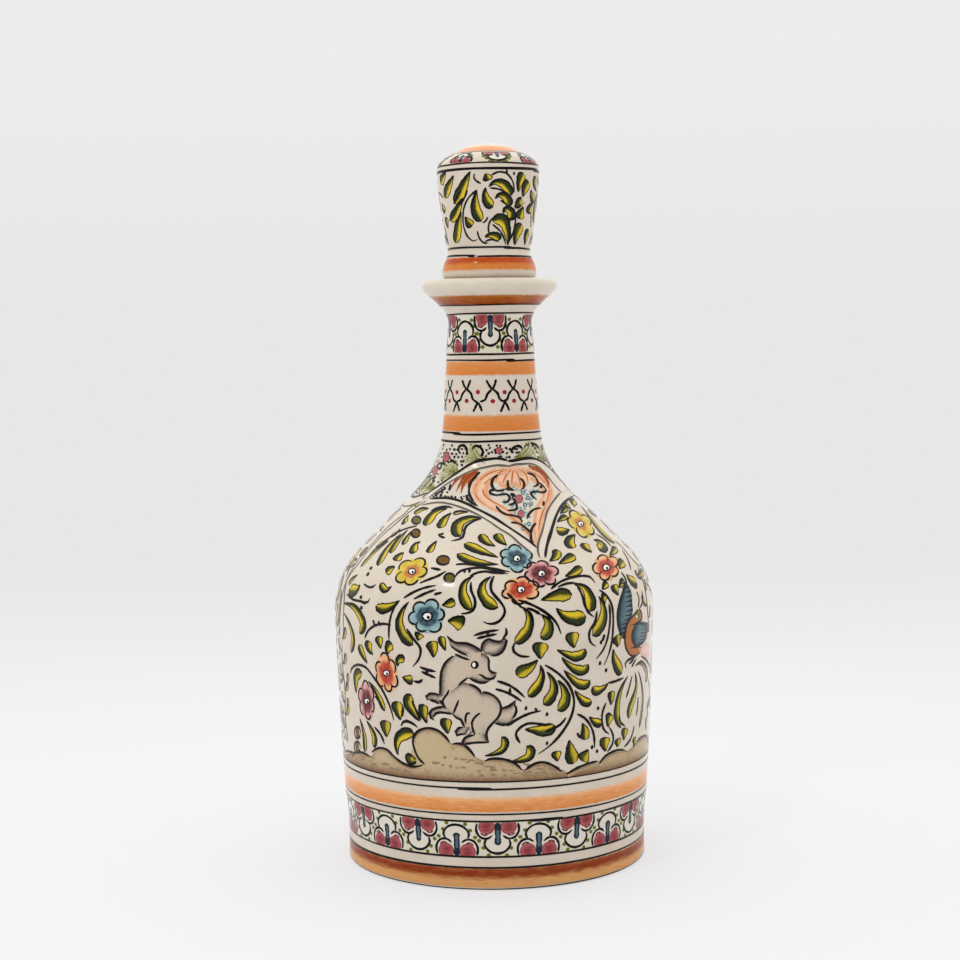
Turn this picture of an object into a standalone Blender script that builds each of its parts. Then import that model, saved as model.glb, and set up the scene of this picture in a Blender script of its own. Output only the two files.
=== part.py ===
"""Stoppered table carafe in glazed earthenware: a thrown bottle, its stopper and the stopper's cork.

Metres, +Z up. The origin is on the turning axis, in the plane that the foot ring stands on.
"""

import math

import bpy

COLLECTION_NAME = "ceramic_carafe"

# Bottle, outside
FOOT_RADIUS = 0.0588
BELLY_RADIUS = 0.0629
BELLY_HEIGHT = 0.0982
SHOULDER_HEIGHT = 0.0616
NECK_BASE_RADIUS = 0.0209
NECK_HEIGHT = 0.0517
NECK_RADIUS = 0.0164
LIP_RADIUS = 0.0266
LIP_HEIGHT = 0.0159

# Bottle, walls and base
BODY_WALL = 0.0050
NECK_WALL = 0.0047
FLOOR_THICKNESS = 0.0060
FLOOR_CORNER = 0.0060
FOOT_EDGE = 0.0015
FOOT_RING_WIDTH = 0.0060
FOOT_RECESS = 0.0022
RECESS_SLOPE = 0.0015
MOUTH_ROUND = 0.0010

# Stopper
WAIST_HEIGHT = 0.0107
DRUM_HEIGHT = 0.0318
CROWN_HEIGHT = 0.0098
HEAD_FOOT_RADIUS = 0.0185
HEAD_WAIST_RADIUS = 0.0161
HEAD_RADIUS = 0.0199
STOPPER_WALL = 0.0034
PLUG_WALL = 0.0028
COLLAR_LENGTH = 0.0030
COLLAR_CLEARANCE = 0.0008
PLUG_BEAD = 0.0028
BEAD_STEP = 0.0008
PLUG_EDGE = 0.0006

# Cork
CORK_LENGTH = 0.0220
CORK_WALL = 0.0022
CORK_TAPER = 0.0006
CORK_EDGE = 0.0005

# What touches keeps this much air
SEAT_GAP = 0.0003

# Finishes
GLAZE_COLOUR = (0.78, 0.73, 0.65)
GLAZE_ROUGHNESS = 0.16
GLAZE_COAT = 0.6
CORK_COLOUR = (0.42, 0.25, 0.13)
CORK_ROUGHNESS = 0.85

TURNING_STEPS = 48
EDGE_STEPS = 4
MERGE_DISTANCE = 0.00001

# Each pair is how far out and how far up a stretch the surface lies
BODY_SHARES = (
    (0.00, 0.03), (0.03, 0.183), (0.09, 0.219), (0.20, 0.252), (0.30, 0.290), (0.39, 0.346),
    (0.47, 0.414), (0.64, 0.546), (0.79, 0.708), (0.93, 0.869), (1.00, 1.000),
)
SHOULDER_SHARES = (
    (0.997, 0.050), (0.986, 0.100), (0.969, 0.150), (0.943, 0.200), (0.909, 0.250), (0.866, 0.300),
    (0.810, 0.352), (0.716, 0.419), (0.621, 0.485), (0.527, 0.550), (0.431, 0.614), (0.336, 0.678),
    (0.240, 0.745), (0.156, 0.808), (0.088, 0.873), (0.036, 0.937), (0.000, 1.000),
)
NECK_SHARES = (
    (0.80, 0.080), (0.63, 0.195), (0.50, 0.345), (0.38, 0.500), (0.265, 0.650), (0.14, 0.805),
    (0.04, 0.913), (0.00, 1.000),
)
LIP_SHARES = (
    (0.055, 0.115), (0.145, 0.220), (0.285, 0.330), (0.470, 0.450), (0.640, 0.545), (0.780, 0.612),
    (0.890, 0.675), (0.960, 0.735), (0.995, 0.795), (1.000, 0.845), (0.980, 0.895), (0.925, 0.945),
    (0.840, 0.983), (0.740, 1.000),
)

WAIST_SHARES = (
    (0.50, 0.000), (0.82, 0.045), (0.98, 0.120), (1.00, 0.220), (0.92, 0.370), (0.70, 0.540),
    (0.38, 0.690), (0.10, 0.860), (0.00, 1.000),
)
DRUM_SHARES = (
    (0.07, 0.050), (0.23, 0.130), (0.42, 0.300), (0.66, 0.500), (0.86, 0.700), (0.975, 0.860),
    (1.00, 1.000),
)
CROWN_SHARES = (
    (0.980, 0.170), (0.935, 0.300), (0.860, 0.420), (0.755, 0.540), (0.620, 0.670), (0.505, 0.790),
    (0.390, 0.905), (0.280, 0.970), (0.150, 0.995), (0.000, 1.000),
)


def between(start, end, share):
    """The value a share of the way from start to end."""
    return start + (end - start) * share


def stretch(shares, radius_from, radius_to, height_from, height_to):
    """Turns a table of shares into (radius, height) points of one stretch of an outline."""
    return [
        (between(radius_from, radius_to, out), between(height_from, height_to, up))
        for out, up in shares
    ]


def quarter_round(centre, start_angle, end_angle, radius, steps=EDGE_STEPS):
    """Points of an arc round centre, from one angle to another, for a rounded edge."""
    turn = (end_angle - start_angle) / steps
    return [
        (
            centre[0] + radius * math.cos(start_angle + turn * step),
            centre[1] + radius * math.sin(start_angle + turn * step),
        )
        for step in range(steps + 1)
    ]


def inset(points, wall_at):
    """Moves each point of a rising outline towards the axis side, square to the outline."""
    moved = []
    for index, (radius, height) in enumerate(points):
        before = points[max(index - 1, 0)]
        after = points[min(index + 1, len(points) - 1)]
        run = (after[0] - before[0], after[1] - before[1])
        length = math.hypot(*run)
        wall = wall_at(height)
        moved.append((radius - run[1] / length * wall, height + run[0] / length * wall))
    return moved


def bottle_heights():
    """Heights of the belly, the neck's base, the lip's base and the lip's top."""
    neck_base = BELLY_HEIGHT + SHOULDER_HEIGHT
    lip_base = neck_base + NECK_HEIGHT
    return BELLY_HEIGHT, neck_base, lip_base, lip_base + LIP_HEIGHT


def bore_radius():
    """Radius of the straight bore that the stopper's plug goes down."""
    return NECK_RADIUS - NECK_WALL


def wall_thickness(height):
    """The body's wall below the belly, thinning up the shoulder to the neck's wall."""
    belly, neck_base, _, _ = bottle_heights()
    up_share = min(max((height - belly) / (neck_base - belly), 0.0), 1.0)
    return between(BODY_WALL, NECK_WALL, up_share)


def bottle_outside():
    """The bottle's outer side, from just above the foot's edge up to the rim of the lip."""
    belly, neck_base, lip_base, top = bottle_heights()
    return (
        stretch(BODY_SHARES, FOOT_RADIUS, BELLY_RADIUS, 0.0, belly)
        + stretch(SHOULDER_SHARES, NECK_BASE_RADIUS, BELLY_RADIUS, belly, neck_base)
        + stretch(NECK_SHARES, NECK_RADIUS, NECK_BASE_RADIUS, neck_base, lip_base)
        + stretch(LIP_SHARES, NECK_RADIUS, LIP_RADIUS, lip_base, top)
    )


def bottle_inside():
    """The hollow, from the middle of its floor up to the rounded edge of the mouth."""
    belly, neck_base, lip_base, top = bottle_heights()
    bore = bore_radius()
    body = stretch(BODY_SHARES, FOOT_RADIUS, BELLY_RADIUS, 0.0, belly)
    shoulder = stretch(SHOULDER_SHARES, NECK_BASE_RADIUS, BELLY_RADIUS, belly, neck_base)
    neck = stretch(NECK_SHARES, NECK_RADIUS, NECK_BASE_RADIUS, neck_base, lip_base)
    wall_side = inset(body[::2] + shoulder[::2] + neck[::2], wall_thickness)
    corner_centre = (FOOT_RADIUS - BODY_WALL - FLOOR_CORNER, FLOOR_THICKNESS + FLOOR_CORNER)
    corner = quarter_round(corner_centre, -math.pi / 2, 0.0, FLOOR_CORNER)
    above_corner = [point for point in wall_side if point[1] > corner[-1][1]]
    rising = [(max(radius, bore), height) for radius, height in above_corner if height < lip_base]
    mouth = quarter_round((bore + MOUTH_ROUND, top - MOUTH_ROUND), math.pi, math.pi / 2, MOUTH_ROUND)
    return [(0.0, FLOOR_THICKNESS)] + corner + rising + mouth


def bottle_underside():
    """The foot's rounded edge, the flat ring it stands on and the recess inside the ring."""
    ring_outer = FOOT_RADIUS - FOOT_EDGE
    ring_inner = ring_outer - FOOT_RING_WIDTH
    edge = quarter_round((ring_outer, FOOT_EDGE), 0.0, -math.pi / 2, FOOT_EDGE)
    return edge + [(ring_inner, 0.0), (ring_inner - RECESS_SLOPE, FOOT_RECESS), (0.0, FOOT_RECESS)]


def head_outside():
    """The stopper's head above its seat, from the seat's edge up to the middle of the crown."""
    drum_base = WAIST_HEIGHT
    drum_top = drum_base + DRUM_HEIGHT
    return (
        stretch(WAIST_SHARES, HEAD_WAIST_RADIUS, HEAD_FOOT_RADIUS, 0.0, drum_base)
        + stretch(DRUM_SHARES, HEAD_WAIST_RADIUS, HEAD_RADIUS, drum_base, drum_top)
        + stretch(CROWN_SHARES, 0.0, HEAD_RADIUS, drum_top, drum_top + CROWN_HEIGHT)
    )


def cork_radii():
    """Inner radius of the cork, and its outer radius at the top and at the bottom."""
    outer_top = bore_radius() - SEAT_GAP
    return outer_top - CORK_WALL, outer_top, outer_top - CORK_TAPER


def plug_sizes():
    """Radii of the plug's collar, cork seat, end bead and hollow, and the plug's whole length."""
    cork_inner, _, _ = cork_radii()
    seat = cork_inner - SEAT_GAP
    collar = bore_radius() - COLLAR_CLEARANCE
    length = COLLAR_LENGTH + CORK_LENGTH + SEAT_GAP + SEAT_GAP + PLUG_BEAD
    return collar, seat, seat + BEAD_STEP, seat - PLUG_WALL, length


def plug_outside():
    """The plug below the seat, running down: collar, cork seat and rounded end bead."""
    collar, seat, bead, _, length = plug_sizes()
    bead_top = PLUG_BEAD - length
    end_edge = quarter_round((bead - PLUG_EDGE, PLUG_EDGE - length), 0.0, -math.pi / 2, PLUG_EDGE)
    return [
        (collar, 0.0),
        (collar, -COLLAR_LENGTH),
        (seat, -COLLAR_LENGTH),
        (seat, bead_top),
        (bead, bead_top),
    ] + end_edge


def stopper_hollow():
    """The hollow that firing needs, from the plug's open end up to the middle of the crown."""
    _, _, _, hollow, length = plug_sizes()
    side = inset(head_outside()[:-1], lambda height: STOPPER_WALL)
    top = WAIST_HEIGHT + DRUM_HEIGHT + CROWN_HEIGHT - STOPPER_WALL
    rising = [
        point for point in side[::2]
        if WAIST_HEIGHT < point[1] < top - PLUG_EDGE and point[0] > hollow
    ]
    return [(hollow, -length), (hollow, STOPPER_WALL)] + rising + [(0.0, top)]


def turn_profile(name, points, closed, collection):
    """Turns a profile of (radius, height) points round Z into one closed solid."""
    count = len(points)
    edges = [(index, index + 1) for index in range(count - 1)]
    if closed:
        edges.append((count - 1, 0))
    mesh = bpy.data.meshes.new(name)
    mesh.from_pydata([(radius, 0.0, height) for radius, height in points], edges, [])
    piece = bpy.data.objects.new(name, mesh)
    collection.objects.link(piece)
    screw = piece.modifiers.new("turning", "SCREW")
    screw.axis = "Z"
    screw.angle = math.tau
    screw.steps = TURNING_STEPS
    screw.render_steps = TURNING_STEPS
    screw.use_merge_vertices = True
    screw.merge_threshold = MERGE_DISTANCE
    screw.use_smooth_shade = True
    return piece


def finish(piece, colour, roughness, coat=0.0):
    """Gives a piece a material of its own: its colour, how rough it is and its clear coat."""
    material = bpy.data.materials.new(piece.name + "_finish")
    material.use_nodes = True
    shader = material.node_tree.nodes["Principled BSDF"]
    shader.inputs["Base Color"].default_value = (*colour, 1.0)
    shader.inputs["Roughness"].default_value = roughness
    shader.inputs["Metallic"].default_value = 0.0
    shader.inputs["Coat Weight"].default_value = coat
    piece.data.materials.append(material)


def make_bottle(collection):
    """The bottle: one thrown shell with foot, belly, sloping shoulder, neck and flat lip."""
    points = bottle_inside() + bottle_outside()[::-1] + bottle_underside()
    bottle = turn_profile("bottle", points, False, collection)
    finish(bottle, GLAZE_COLOUR, GLAZE_ROUGHNESS, coat=GLAZE_COAT)
    return bottle


def make_stopper(collection):
    """The stopper: a hollow head with a domed crown, and a plug that goes down the bore."""
    points = head_outside()[::-1] + plug_outside() + stopper_hollow()
    stopper = turn_profile("stopper", points, False, collection)
    _, _, _, top = bottle_heights()
    stopper.location = (0.0, 0.0, top + SEAT_GAP)
    finish(stopper, GLAZE_COLOUR, GLAZE_ROUGHNESS, coat=GLAZE_COAT)
    return stopper


def make_cork(collection, stopper):
    """The cork ring round the plug: it tapers a little towards its lower end."""
    inner, outer_top, outer_bottom = cork_radii()
    upper = quarter_round((outer_top - CORK_EDGE, -CORK_EDGE), math.pi / 2, 0.0, CORK_EDGE)
    lower = quarter_round(
        (outer_bottom - CORK_EDGE, CORK_EDGE - CORK_LENGTH), 0.0, -math.pi / 2, CORK_EDGE
    )
    points = upper + lower + [(inner, -CORK_LENGTH), (inner, 0.0)]
    cork = turn_profile("stopper_cork", points, True, collection)
    cork.parent = stopper
    cork.location = (0.0, 0.0, -COLLAR_LENGTH - SEAT_GAP)
    finish(cork, CORK_COLOUR, CORK_ROUGHNESS)
    return cork


def main():
    for old in list(bpy.data.objects):
        bpy.data.objects.remove(old, do_unlink=True)
    collection = bpy.data.collections.new(COLLECTION_NAME)
    bpy.context.scene.collection.children.link(collection)
    make_bottle(collection)
    stopper = make_stopper(collection)
    make_cork(collection, stopper)
    bpy.context.view_layer.update()


main()
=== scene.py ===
"""Dresses the stoppered earthenware carafe: glazed surfaces, brush-painted decoration, cork and studio.

The glazed pieces are turned surfaces with the same outlines as the solids. The painting is made of thin
sheets of colour laid on those surfaces. A sheet is drawn either in the picture, as points that the camera
sees, or unrolled, as a turn round the axis and a rise along the outline.
"""

import math

import bpy
import numpy as np
from mathutils import Matrix, Vector


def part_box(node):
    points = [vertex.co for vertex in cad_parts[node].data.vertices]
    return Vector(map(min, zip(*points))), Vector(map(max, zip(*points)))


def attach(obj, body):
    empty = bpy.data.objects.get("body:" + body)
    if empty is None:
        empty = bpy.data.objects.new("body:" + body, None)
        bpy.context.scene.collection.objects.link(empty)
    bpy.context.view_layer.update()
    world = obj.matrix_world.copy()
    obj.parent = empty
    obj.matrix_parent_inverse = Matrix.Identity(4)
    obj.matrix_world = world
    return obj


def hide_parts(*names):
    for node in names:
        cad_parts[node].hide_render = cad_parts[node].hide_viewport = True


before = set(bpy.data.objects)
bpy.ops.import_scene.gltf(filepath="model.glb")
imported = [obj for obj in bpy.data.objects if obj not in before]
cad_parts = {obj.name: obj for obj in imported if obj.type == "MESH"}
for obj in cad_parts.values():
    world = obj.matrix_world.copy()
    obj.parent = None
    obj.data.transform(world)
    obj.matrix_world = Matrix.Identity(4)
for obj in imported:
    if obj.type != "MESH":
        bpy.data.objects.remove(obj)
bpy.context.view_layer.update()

bl_info = {
    "name": "Painted carafe",
    "version": (1, 0, 0),
    "blender": (4, 5, 0),
    "location": "3D View > Sidebar > Carafe",
    "description": "Glazes and paints a stoppered earthenware carafe",
    "category": "Object",
}

MM = 0.001
BOTTLE_LOW, BOTTLE_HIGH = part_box("bottle")
HEAD_LOW, HEAD_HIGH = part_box("stopper")
CORK_LOW, CORK_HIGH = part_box("stopper_cork")

# The picture that the painting was read from: its side and the camera's focal length, in pixels
PICTURE_SIDE = 960.0
FOCAL_PIXELS = 1951.0
SENSOR_WIDTH = 36.0
# Millimetres on the front of the body that one picture pixel covers
PICTURE_MM = 0.364
# Shares of a band's height from its foot, and how pale the band is there: watery above, or burnt in the middle
WATERY = ((0.0, 0.15, 0.6, 1.0), (0.0, 0.3, 0.5, 0.9))
BURNT = ((0.0, 0.38, 0.52, 0.68, 0.86, 1.0), (0.95, 0.85, 0.45, 0.0, 0.1, 0.45))
# Makes a leaf's greatest breadth the one asked for, with its outline
LEAF_SWELL = 1.7
# A leaf's colour from its outer bend at -1 to its inner one at 1: 0 is the dark brush and 1 the bright one
LEAF_BRUSHES = ((-0.65, -0.3, 0.1, 0.5, 0.8, 1.0), (0.0, 0.1, 0.6, 0.95, 0.6, 0.15))
# How much a leaf's upright run counts against its bend in choosing its dark side, and the sum that divides them
LEAF_LEANING = 0.2
LEAF_LEFT = -0.04
# How far a wash's dark rim reaches inwards, in picture points
RIM_REACH = 3.0
# Kept between the two sides of a wash where they meet, in picture points
END_GAP = 0.03
# A length in metres that counts as none
ON_AXIS = 1e-7
# A sight line this close to the surface's edge, in metres, is taken as missing it
GRAZE = 0.00002
# The picture column of the carafe's axis, towards which a line that misses is moved, by how many points and how often
AXIS_COLUMN = 492.0
NUDGE = 0.5
NUDGES = 24
# How often the stretch in which a sight line meets the surface is halved
HALVINGS = 40
# The softbox: its sides, its place and the point that it faces, in metres
SOFTBOX_SIZE = (0.2, 0.14)
SOFTBOX_PLACE = (-0.8, -0.9, 1.35)
SOFTBOX_AIM = (0.0, 0.0, 0.12)
# Degrees and millimetres of the unrolled surface as radians and metres
UNROLLED = (math.radians(1.0), MM)
# Length of one facet of a turned line and of a band, and the height of a band's row, in millimetres
RING_FACET, BAND_FACET, BAND_ROW = 1.7, 1.9, 0.7
# How far a turned line runs, in degrees, so that its ends pass each other
RING_RUN = 372.0
# Share of a sheet's cell on the unrolled plane at which the sheet starts and ends
CELL_START, CELL_END = 0.06, 0.94
# A sheet's distance from its outline, in line widths, that shows no outline
NO_EDGE = 9.0
# How much wider a brush line is than the line of the table
FIRMNESS = 1.48
CAMERA_PLACE = (-0.0040, -0.7693, 0.2037)
CAMERA_FORWARD = (-0.000986, 0.99744, -0.07151)
CAMERA_UP = (0.01375, 0.07152, 0.99735)

# Each pair is how far out and how far up a stretch the surface lies
BODY_SHARES = (
    (0.00, 0.03), (0.03, 0.183), (0.09, 0.219), (0.20, 0.252), (0.30, 0.290), (0.39, 0.346), (0.47, 0.414),
    (0.64, 0.546), (0.79, 0.708), (0.93, 0.869), (1.00, 1.000),
)
SHOULDER_SHARES = (
    (0.997, 0.050), (0.986, 0.100), (0.969, 0.150), (0.943, 0.200), (0.909, 0.250), (0.866, 0.300), (0.810, 0.352),
    (0.716, 0.419), (0.621, 0.485), (0.527, 0.550), (0.431, 0.614), (0.336, 0.678), (0.240, 0.745), (0.156, 0.808),
    (0.088, 0.873), (0.036, 0.937), (0.000, 1.000),
)
NECK_SHARES = (
    (0.80, 0.080), (0.63, 0.195), (0.50, 0.345), (0.38, 0.500), (0.265, 0.650), (0.14, 0.805), (0.04, 0.913),
    (0.00, 1.000),
)
LIP_SHARES = (
    (0.055, 0.115), (0.145, 0.220), (0.285, 0.330), (0.470, 0.450), (0.640, 0.545), (0.780, 0.612), (0.890, 0.675),
    (0.960, 0.735), (0.995, 0.795), (1.000, 0.845), (0.980, 0.895), (0.925, 0.945), (0.840, 0.983), (0.740, 1.000),
)
WAIST_SHARES = (
    (0.50, 0.000), (0.82, 0.045), (0.98, 0.120), (1.00, 0.220), (0.92, 0.370), (0.70, 0.540), (0.38, 0.690),
    (0.10, 0.860), (0.00, 1.000),
)
DRUM_SHARES = (
    (0.07, 0.050), (0.23, 0.130), (0.42, 0.300), (0.66, 0.500), (0.86, 0.700), (0.975, 0.860), (1.00, 1.000),
)
CROWN_SHARES = (
    (0.980, 0.170), (0.935, 0.300), (0.860, 0.420), (0.755, 0.540), (0.620, 0.670), (0.505, 0.790), (0.390, 0.905),
    (0.280, 0.970), (0.150, 0.995), (0.000, 1.000),
)
# The brushwork of the front, read from the picture. Each leaf is its breadth, then its spine from tail to tip.
FIELD_LEAVES = (
    (5, 428.5, 509, 421, 510, 414, 514), (8, 447, 509, 435, 513, 425.5, 526), (7, 451.5, 513, 445, 519, 440, 528.5),
    (9, 481.5, 518.5, 468, 519, 458, 525, 457, 531, 460.5, 537), (5.5, 437, 541, 433, 546, 428.5, 553),
    (5, 409, 515, 406, 519, 404.5, 524), (6.5, 420.5, 542, 415, 546, 414, 553.5), (8, 404, 553, 399, 557, 395.5, 561),
    (7, 395, 567, 390, 570, 386, 573), (4, 400, 528.5, 396, 533, 391, 535.5), (5, 390.5, 536, 384, 542, 376, 546.5),
    (4.5, 412, 531, 407, 538, 403.5, 545), (5.5, 408, 530, 398, 541, 390.5, 553.5),
    (6.5, 401, 534, 388, 548, 378, 566), (4.5, 389, 541, 374, 553, 360.5, 567), (4, 357.5, 575, 352, 580, 348.5, 584),
    (9, 360, 584.5, 355, 590, 349, 590), (6.5, 391.5, 586, 386, 589.5, 380.5, 583),
    (9, 399.5, 600, 391.8, 605.6, 383.3, 608.4, 375.6, 606.3),
    (7, 343.3, 603.5, 352.5, 606.3, 359.5, 614.7, 363, 625.9, 359.5, 633.7),
    (5, 344, 613.3, 351, 628.7, 353, 638.6, 351, 652.6),
    (8.5, 409, 602, 401.6, 613.3, 399.5, 623.1, 402.9, 634.4, 413.5, 644.9), (8, 442, 605.5, 449, 604, 455, 601),
    (13, 447.8, 621.7, 456, 622, 464, 625), (9, 473.8, 576.1, 464.7, 583.8, 463.2, 593.6, 466.8, 603.4, 471.7, 609.8),
    (10, 491.3, 576.8, 482.9, 585.2, 482.2, 592.2, 487.1, 600.6, 498.3, 607.6), (8, 419, 640.5, 419, 637, 420, 633),
    (10.5, 434, 657.5, 433, 648, 430.5, 641), (6.5, 446, 650.5, 443, 643, 441, 636),
    (8, 398, 666.5, 399, 660, 405, 658.5), (7, 373, 654.5, 369, 647, 368.5, 640.5),
    (6.5, 381, 648.5, 379.5, 641, 378.5, 636), (8, 388, 655, 388.5, 648, 392, 643),
    (6, 367.5, 663, 362.5, 653, 359, 644.5), (7.5, 498.4, 557.2, 481.5, 550.9, 470.3, 546, 464, 543.8),
    (7, 498.4, 564.2, 484.3, 562.8, 468.9, 559.3, 457, 553.7), (7.5, 495.5, 546, 486, 541, 480.5, 534),
    (8, 507, 545, 500, 539, 496.5, 533.5), (6.5, 575, 507, 573, 502, 574, 499), (5.5, 571, 509, 568, 506, 565, 503),
    (5, 560.5, 514, 564, 511, 567.5, 507.5), (5, 557.5, 522.5, 562, 519, 567, 516),
    (7.5, 569, 529, 562, 531, 556.5, 531), (9, 575.4, 534.7, 570, 542, 572.6, 548.7),
    (8, 592, 552, 587, 548, 583, 543), (8, 593.6, 540.3, 602.7, 545.2, 599.2, 550.8),
    (6, 610, 556, 613.5, 552, 616.5, 547.5), (8.5, 549.7, 561.6, 556.5, 556, 557.1, 549.4),
    (8, 558.8, 564.2, 567, 560, 574.7, 555), (8, 565.3, 576.8, 574, 573, 581.7, 567),
    (7, 619.6, 569, 621, 565, 623.5, 561), (8.5, 626.6, 574.2, 631, 580, 637, 583.8),
    (5, 637.5, 578, 640, 575, 643, 571), (6, 602.5, 590, 605, 586, 607.5, 582.5),
    (7.5, 618.8, 595, 616, 590, 613.2, 584.5), (5, 619, 588, 621.5, 584, 624, 580),
    (5.5, 605.5, 603.5, 604, 599, 605.5, 594.5), (12, 541, 600.5, 551, 597.5, 562, 595, 572, 594.5),
    (14, 556.5, 608, 565, 615.5, 575, 618, 586, 616.5), (10, 574, 584.5, 583.8, 588, 590, 599.2, 590, 611.8),
    (9, 598.5, 596.4, 603.4, 609, 600.6, 624.5, 592.2, 635.7),
    (10, 521.4, 606.9, 528.4, 614.6, 528.4, 627.3, 522, 637, 514.4, 643.4),
    (10, 541, 614.6, 548, 623, 546.6, 632.9, 540.3, 637.8), (12, 574.7, 647.6, 573, 640, 572, 632),
    (14, 541, 659, 540.5, 650, 541, 642), (9, 557, 649.5, 565, 653, 574, 656, 582, 654, 585, 648.5),
    (9, 562, 657, 568, 663.5, 576, 669, 584, 670, 588, 664), (9, 564, 670, 571, 677, 578, 683, 585, 684.5, 590, 680),
    (8, 575, 690, 580, 697, 586, 702, 592, 702), (8, 608, 683, 601, 689, 596, 690.5, 592.5, 686.5),
    (11, 538, 660, 531, 667, 523, 671.5, 516, 675), (9, 540, 665, 541.5, 675, 538, 685, 532, 692.5, 528, 696.5),
    (9, 546.5, 672, 552.5, 681, 553.5, 690, 549.5, 698.5, 543, 704.5),
    (9, 557.5, 680.5, 563.5, 689, 565.5, 698, 563, 705, 557.5, 710.5),
    (11, 525, 729, 533, 729.5, 541, 730.5, 549, 729, 554.5, 725), (8, 582.5, 723, 585, 730, 584, 740),
    (8, 589.5, 716.5, 595, 721.5, 602, 723.5), (7, 608.5, 727, 609, 720, 611, 713.5),
    (6.5, 611, 705, 611.5, 698, 611, 691), (8, 613.5, 649, 614.5, 658, 618, 667, 621.5, 674),
    (9, 606, 751, 605, 744, 605, 737), (6.5, 617.5, 747, 618, 743, 617.5, 738.5),
    (7, 624, 740, 624.5, 734, 625, 727.5), (4.5, 633.5, 747.5, 634.5, 742, 634, 737),
    (12, 569.5, 740, 570.5, 749, 572, 757, 573, 764), (9, 558, 761, 557, 756, 556, 751),
    (10, 588.5, 750, 585, 756, 582, 761), (8, 511, 761, 521, 759.5, 529, 756, 530.5, 751, 526.5, 746),
    (6.5, 485, 755.5, 495, 753, 502.5, 749, 505, 743, 501.5, 736.5), (8, 618, 647, 617.5, 641, 616, 635.5),
    (7, 356.5, 693, 356, 683, 357, 675, 362, 672), (4.5, 368.5, 681, 375, 689, 380, 699, 385, 711),
    (9, 401, 720, 398, 710, 396.5, 701), (9, 420, 721, 413, 711, 408.5, 702, 411, 694),
    (8.5, 427.5, 723, 424, 714, 423.5, 704), (9.5, 387, 737, 386, 728, 385, 720),
    (11, 398.5, 755, 397, 746, 399, 738, 405, 734, 414, 733), (9, 416.5, 762, 411, 759.5, 412, 754.5),
    (5, 366.5, 721, 371.5, 730, 374.5, 739, 373.5, 747.5), (10.5, 448.5, 733.5, 446.5, 725, 446, 718),
    (8, 402.5, 676.5, 408, 679, 413, 680), (4.5, 360, 718, 363, 728, 365, 740, 365, 752),
    (5.5, 628, 676, 621, 690, 617.5, 704, 617, 716, 621, 728),
    (6, 635, 672, 636.5, 685, 634, 697, 630, 708, 628.5, 719),
    (8.5, 581, 506, 587, 513, 593, 521, 600, 530, 607, 537, 615, 543),
)
# Blue-grey leaves, nearly without yellow; the first is a painted highlight, a short grey streak for the glaze's sheen
# at the top of the field
GREY_LEAVES_AND_HIGHLIGHT = (
    (3.5, 468, 512.5, 460, 512.5, 453, 514), (3.5, 638, 671, 641.5, 685, 642.5, 700, 641, 715, 639, 728),
    (5, 635.5, 666, 641, 663, 645, 668, 646.5, 676, 645.5, 682), (4, 648, 678, 649.5, 690, 649, 700, 646.5, 708),
    (4, 646, 730, 646, 723, 646.5, 717), (5, 348, 568, 352, 563, 356, 559), (5, 358, 554, 363, 547, 368, 540),
    (4, 347, 688, 348, 680, 348, 673), (4, 347, 712, 348, 705, 348, 698), (7, 631, 567, 635, 560, 639, 553),
    (3, 645, 574, 649, 590, 650, 602),
)
# Berries: middle, half width and half height, and how brown they are
BERRIES = (
    (416.6, 520.3, 4.5, 3.9, 0.2), (415.9, 533.3, 4.4, 4.2, 0.9), (443.3, 560.3, 6.5, 4.5, 0.9),
    (449.6, 577.9, 5.2, 4.6, 0.3), (357.6, 732.5, 2.9, 6.2, 0.9), (357.3, 747, 2.9, 5.8, 0.6),
)
# Flowers: middle, half width and half height, tilt in degrees, petals, and the colour's name
FLOWERS = (
    (412, 571.5, 17, 12, -28, 5, "yellow"), (427.4, 616.4, 17.5, 16.5, 0, 6, "teal"),
    (517, 558.5, 16, 12.5, 15, 6, "teal"), (541.5, 573.5, 16.5, 12.5, 12, 6, "red"),
    (521, 589.5, 18.5, 13, -8, 6, "orange"), (580.6, 524, 15.5, 10, 42, 5, "yellow"),
    (606.2, 567.5, 13.5, 13, 20, 5, "orange"), (386.5, 673, 10.5, 19, -12, 6, "orange"),
    (367, 701, 9, 19, -8, 6, "red"),
)
# Each flower's colours from its heart to its petals, and how many times smaller the heart is
FLOWER_TONES = {
    "yellow": ("orange", "yellow", "yellow", 1.3), "teal": ("teal", "sky", "sky", 1.0),
    "red": ("wine", "rose", "blush", 1.05), "orange": ("rust", "coral", "apricot", 1.15),
}
# Where on the way from heart to rim those colours lie
TONE_REACH = (0.58, 0.69, 0.85)
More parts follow.
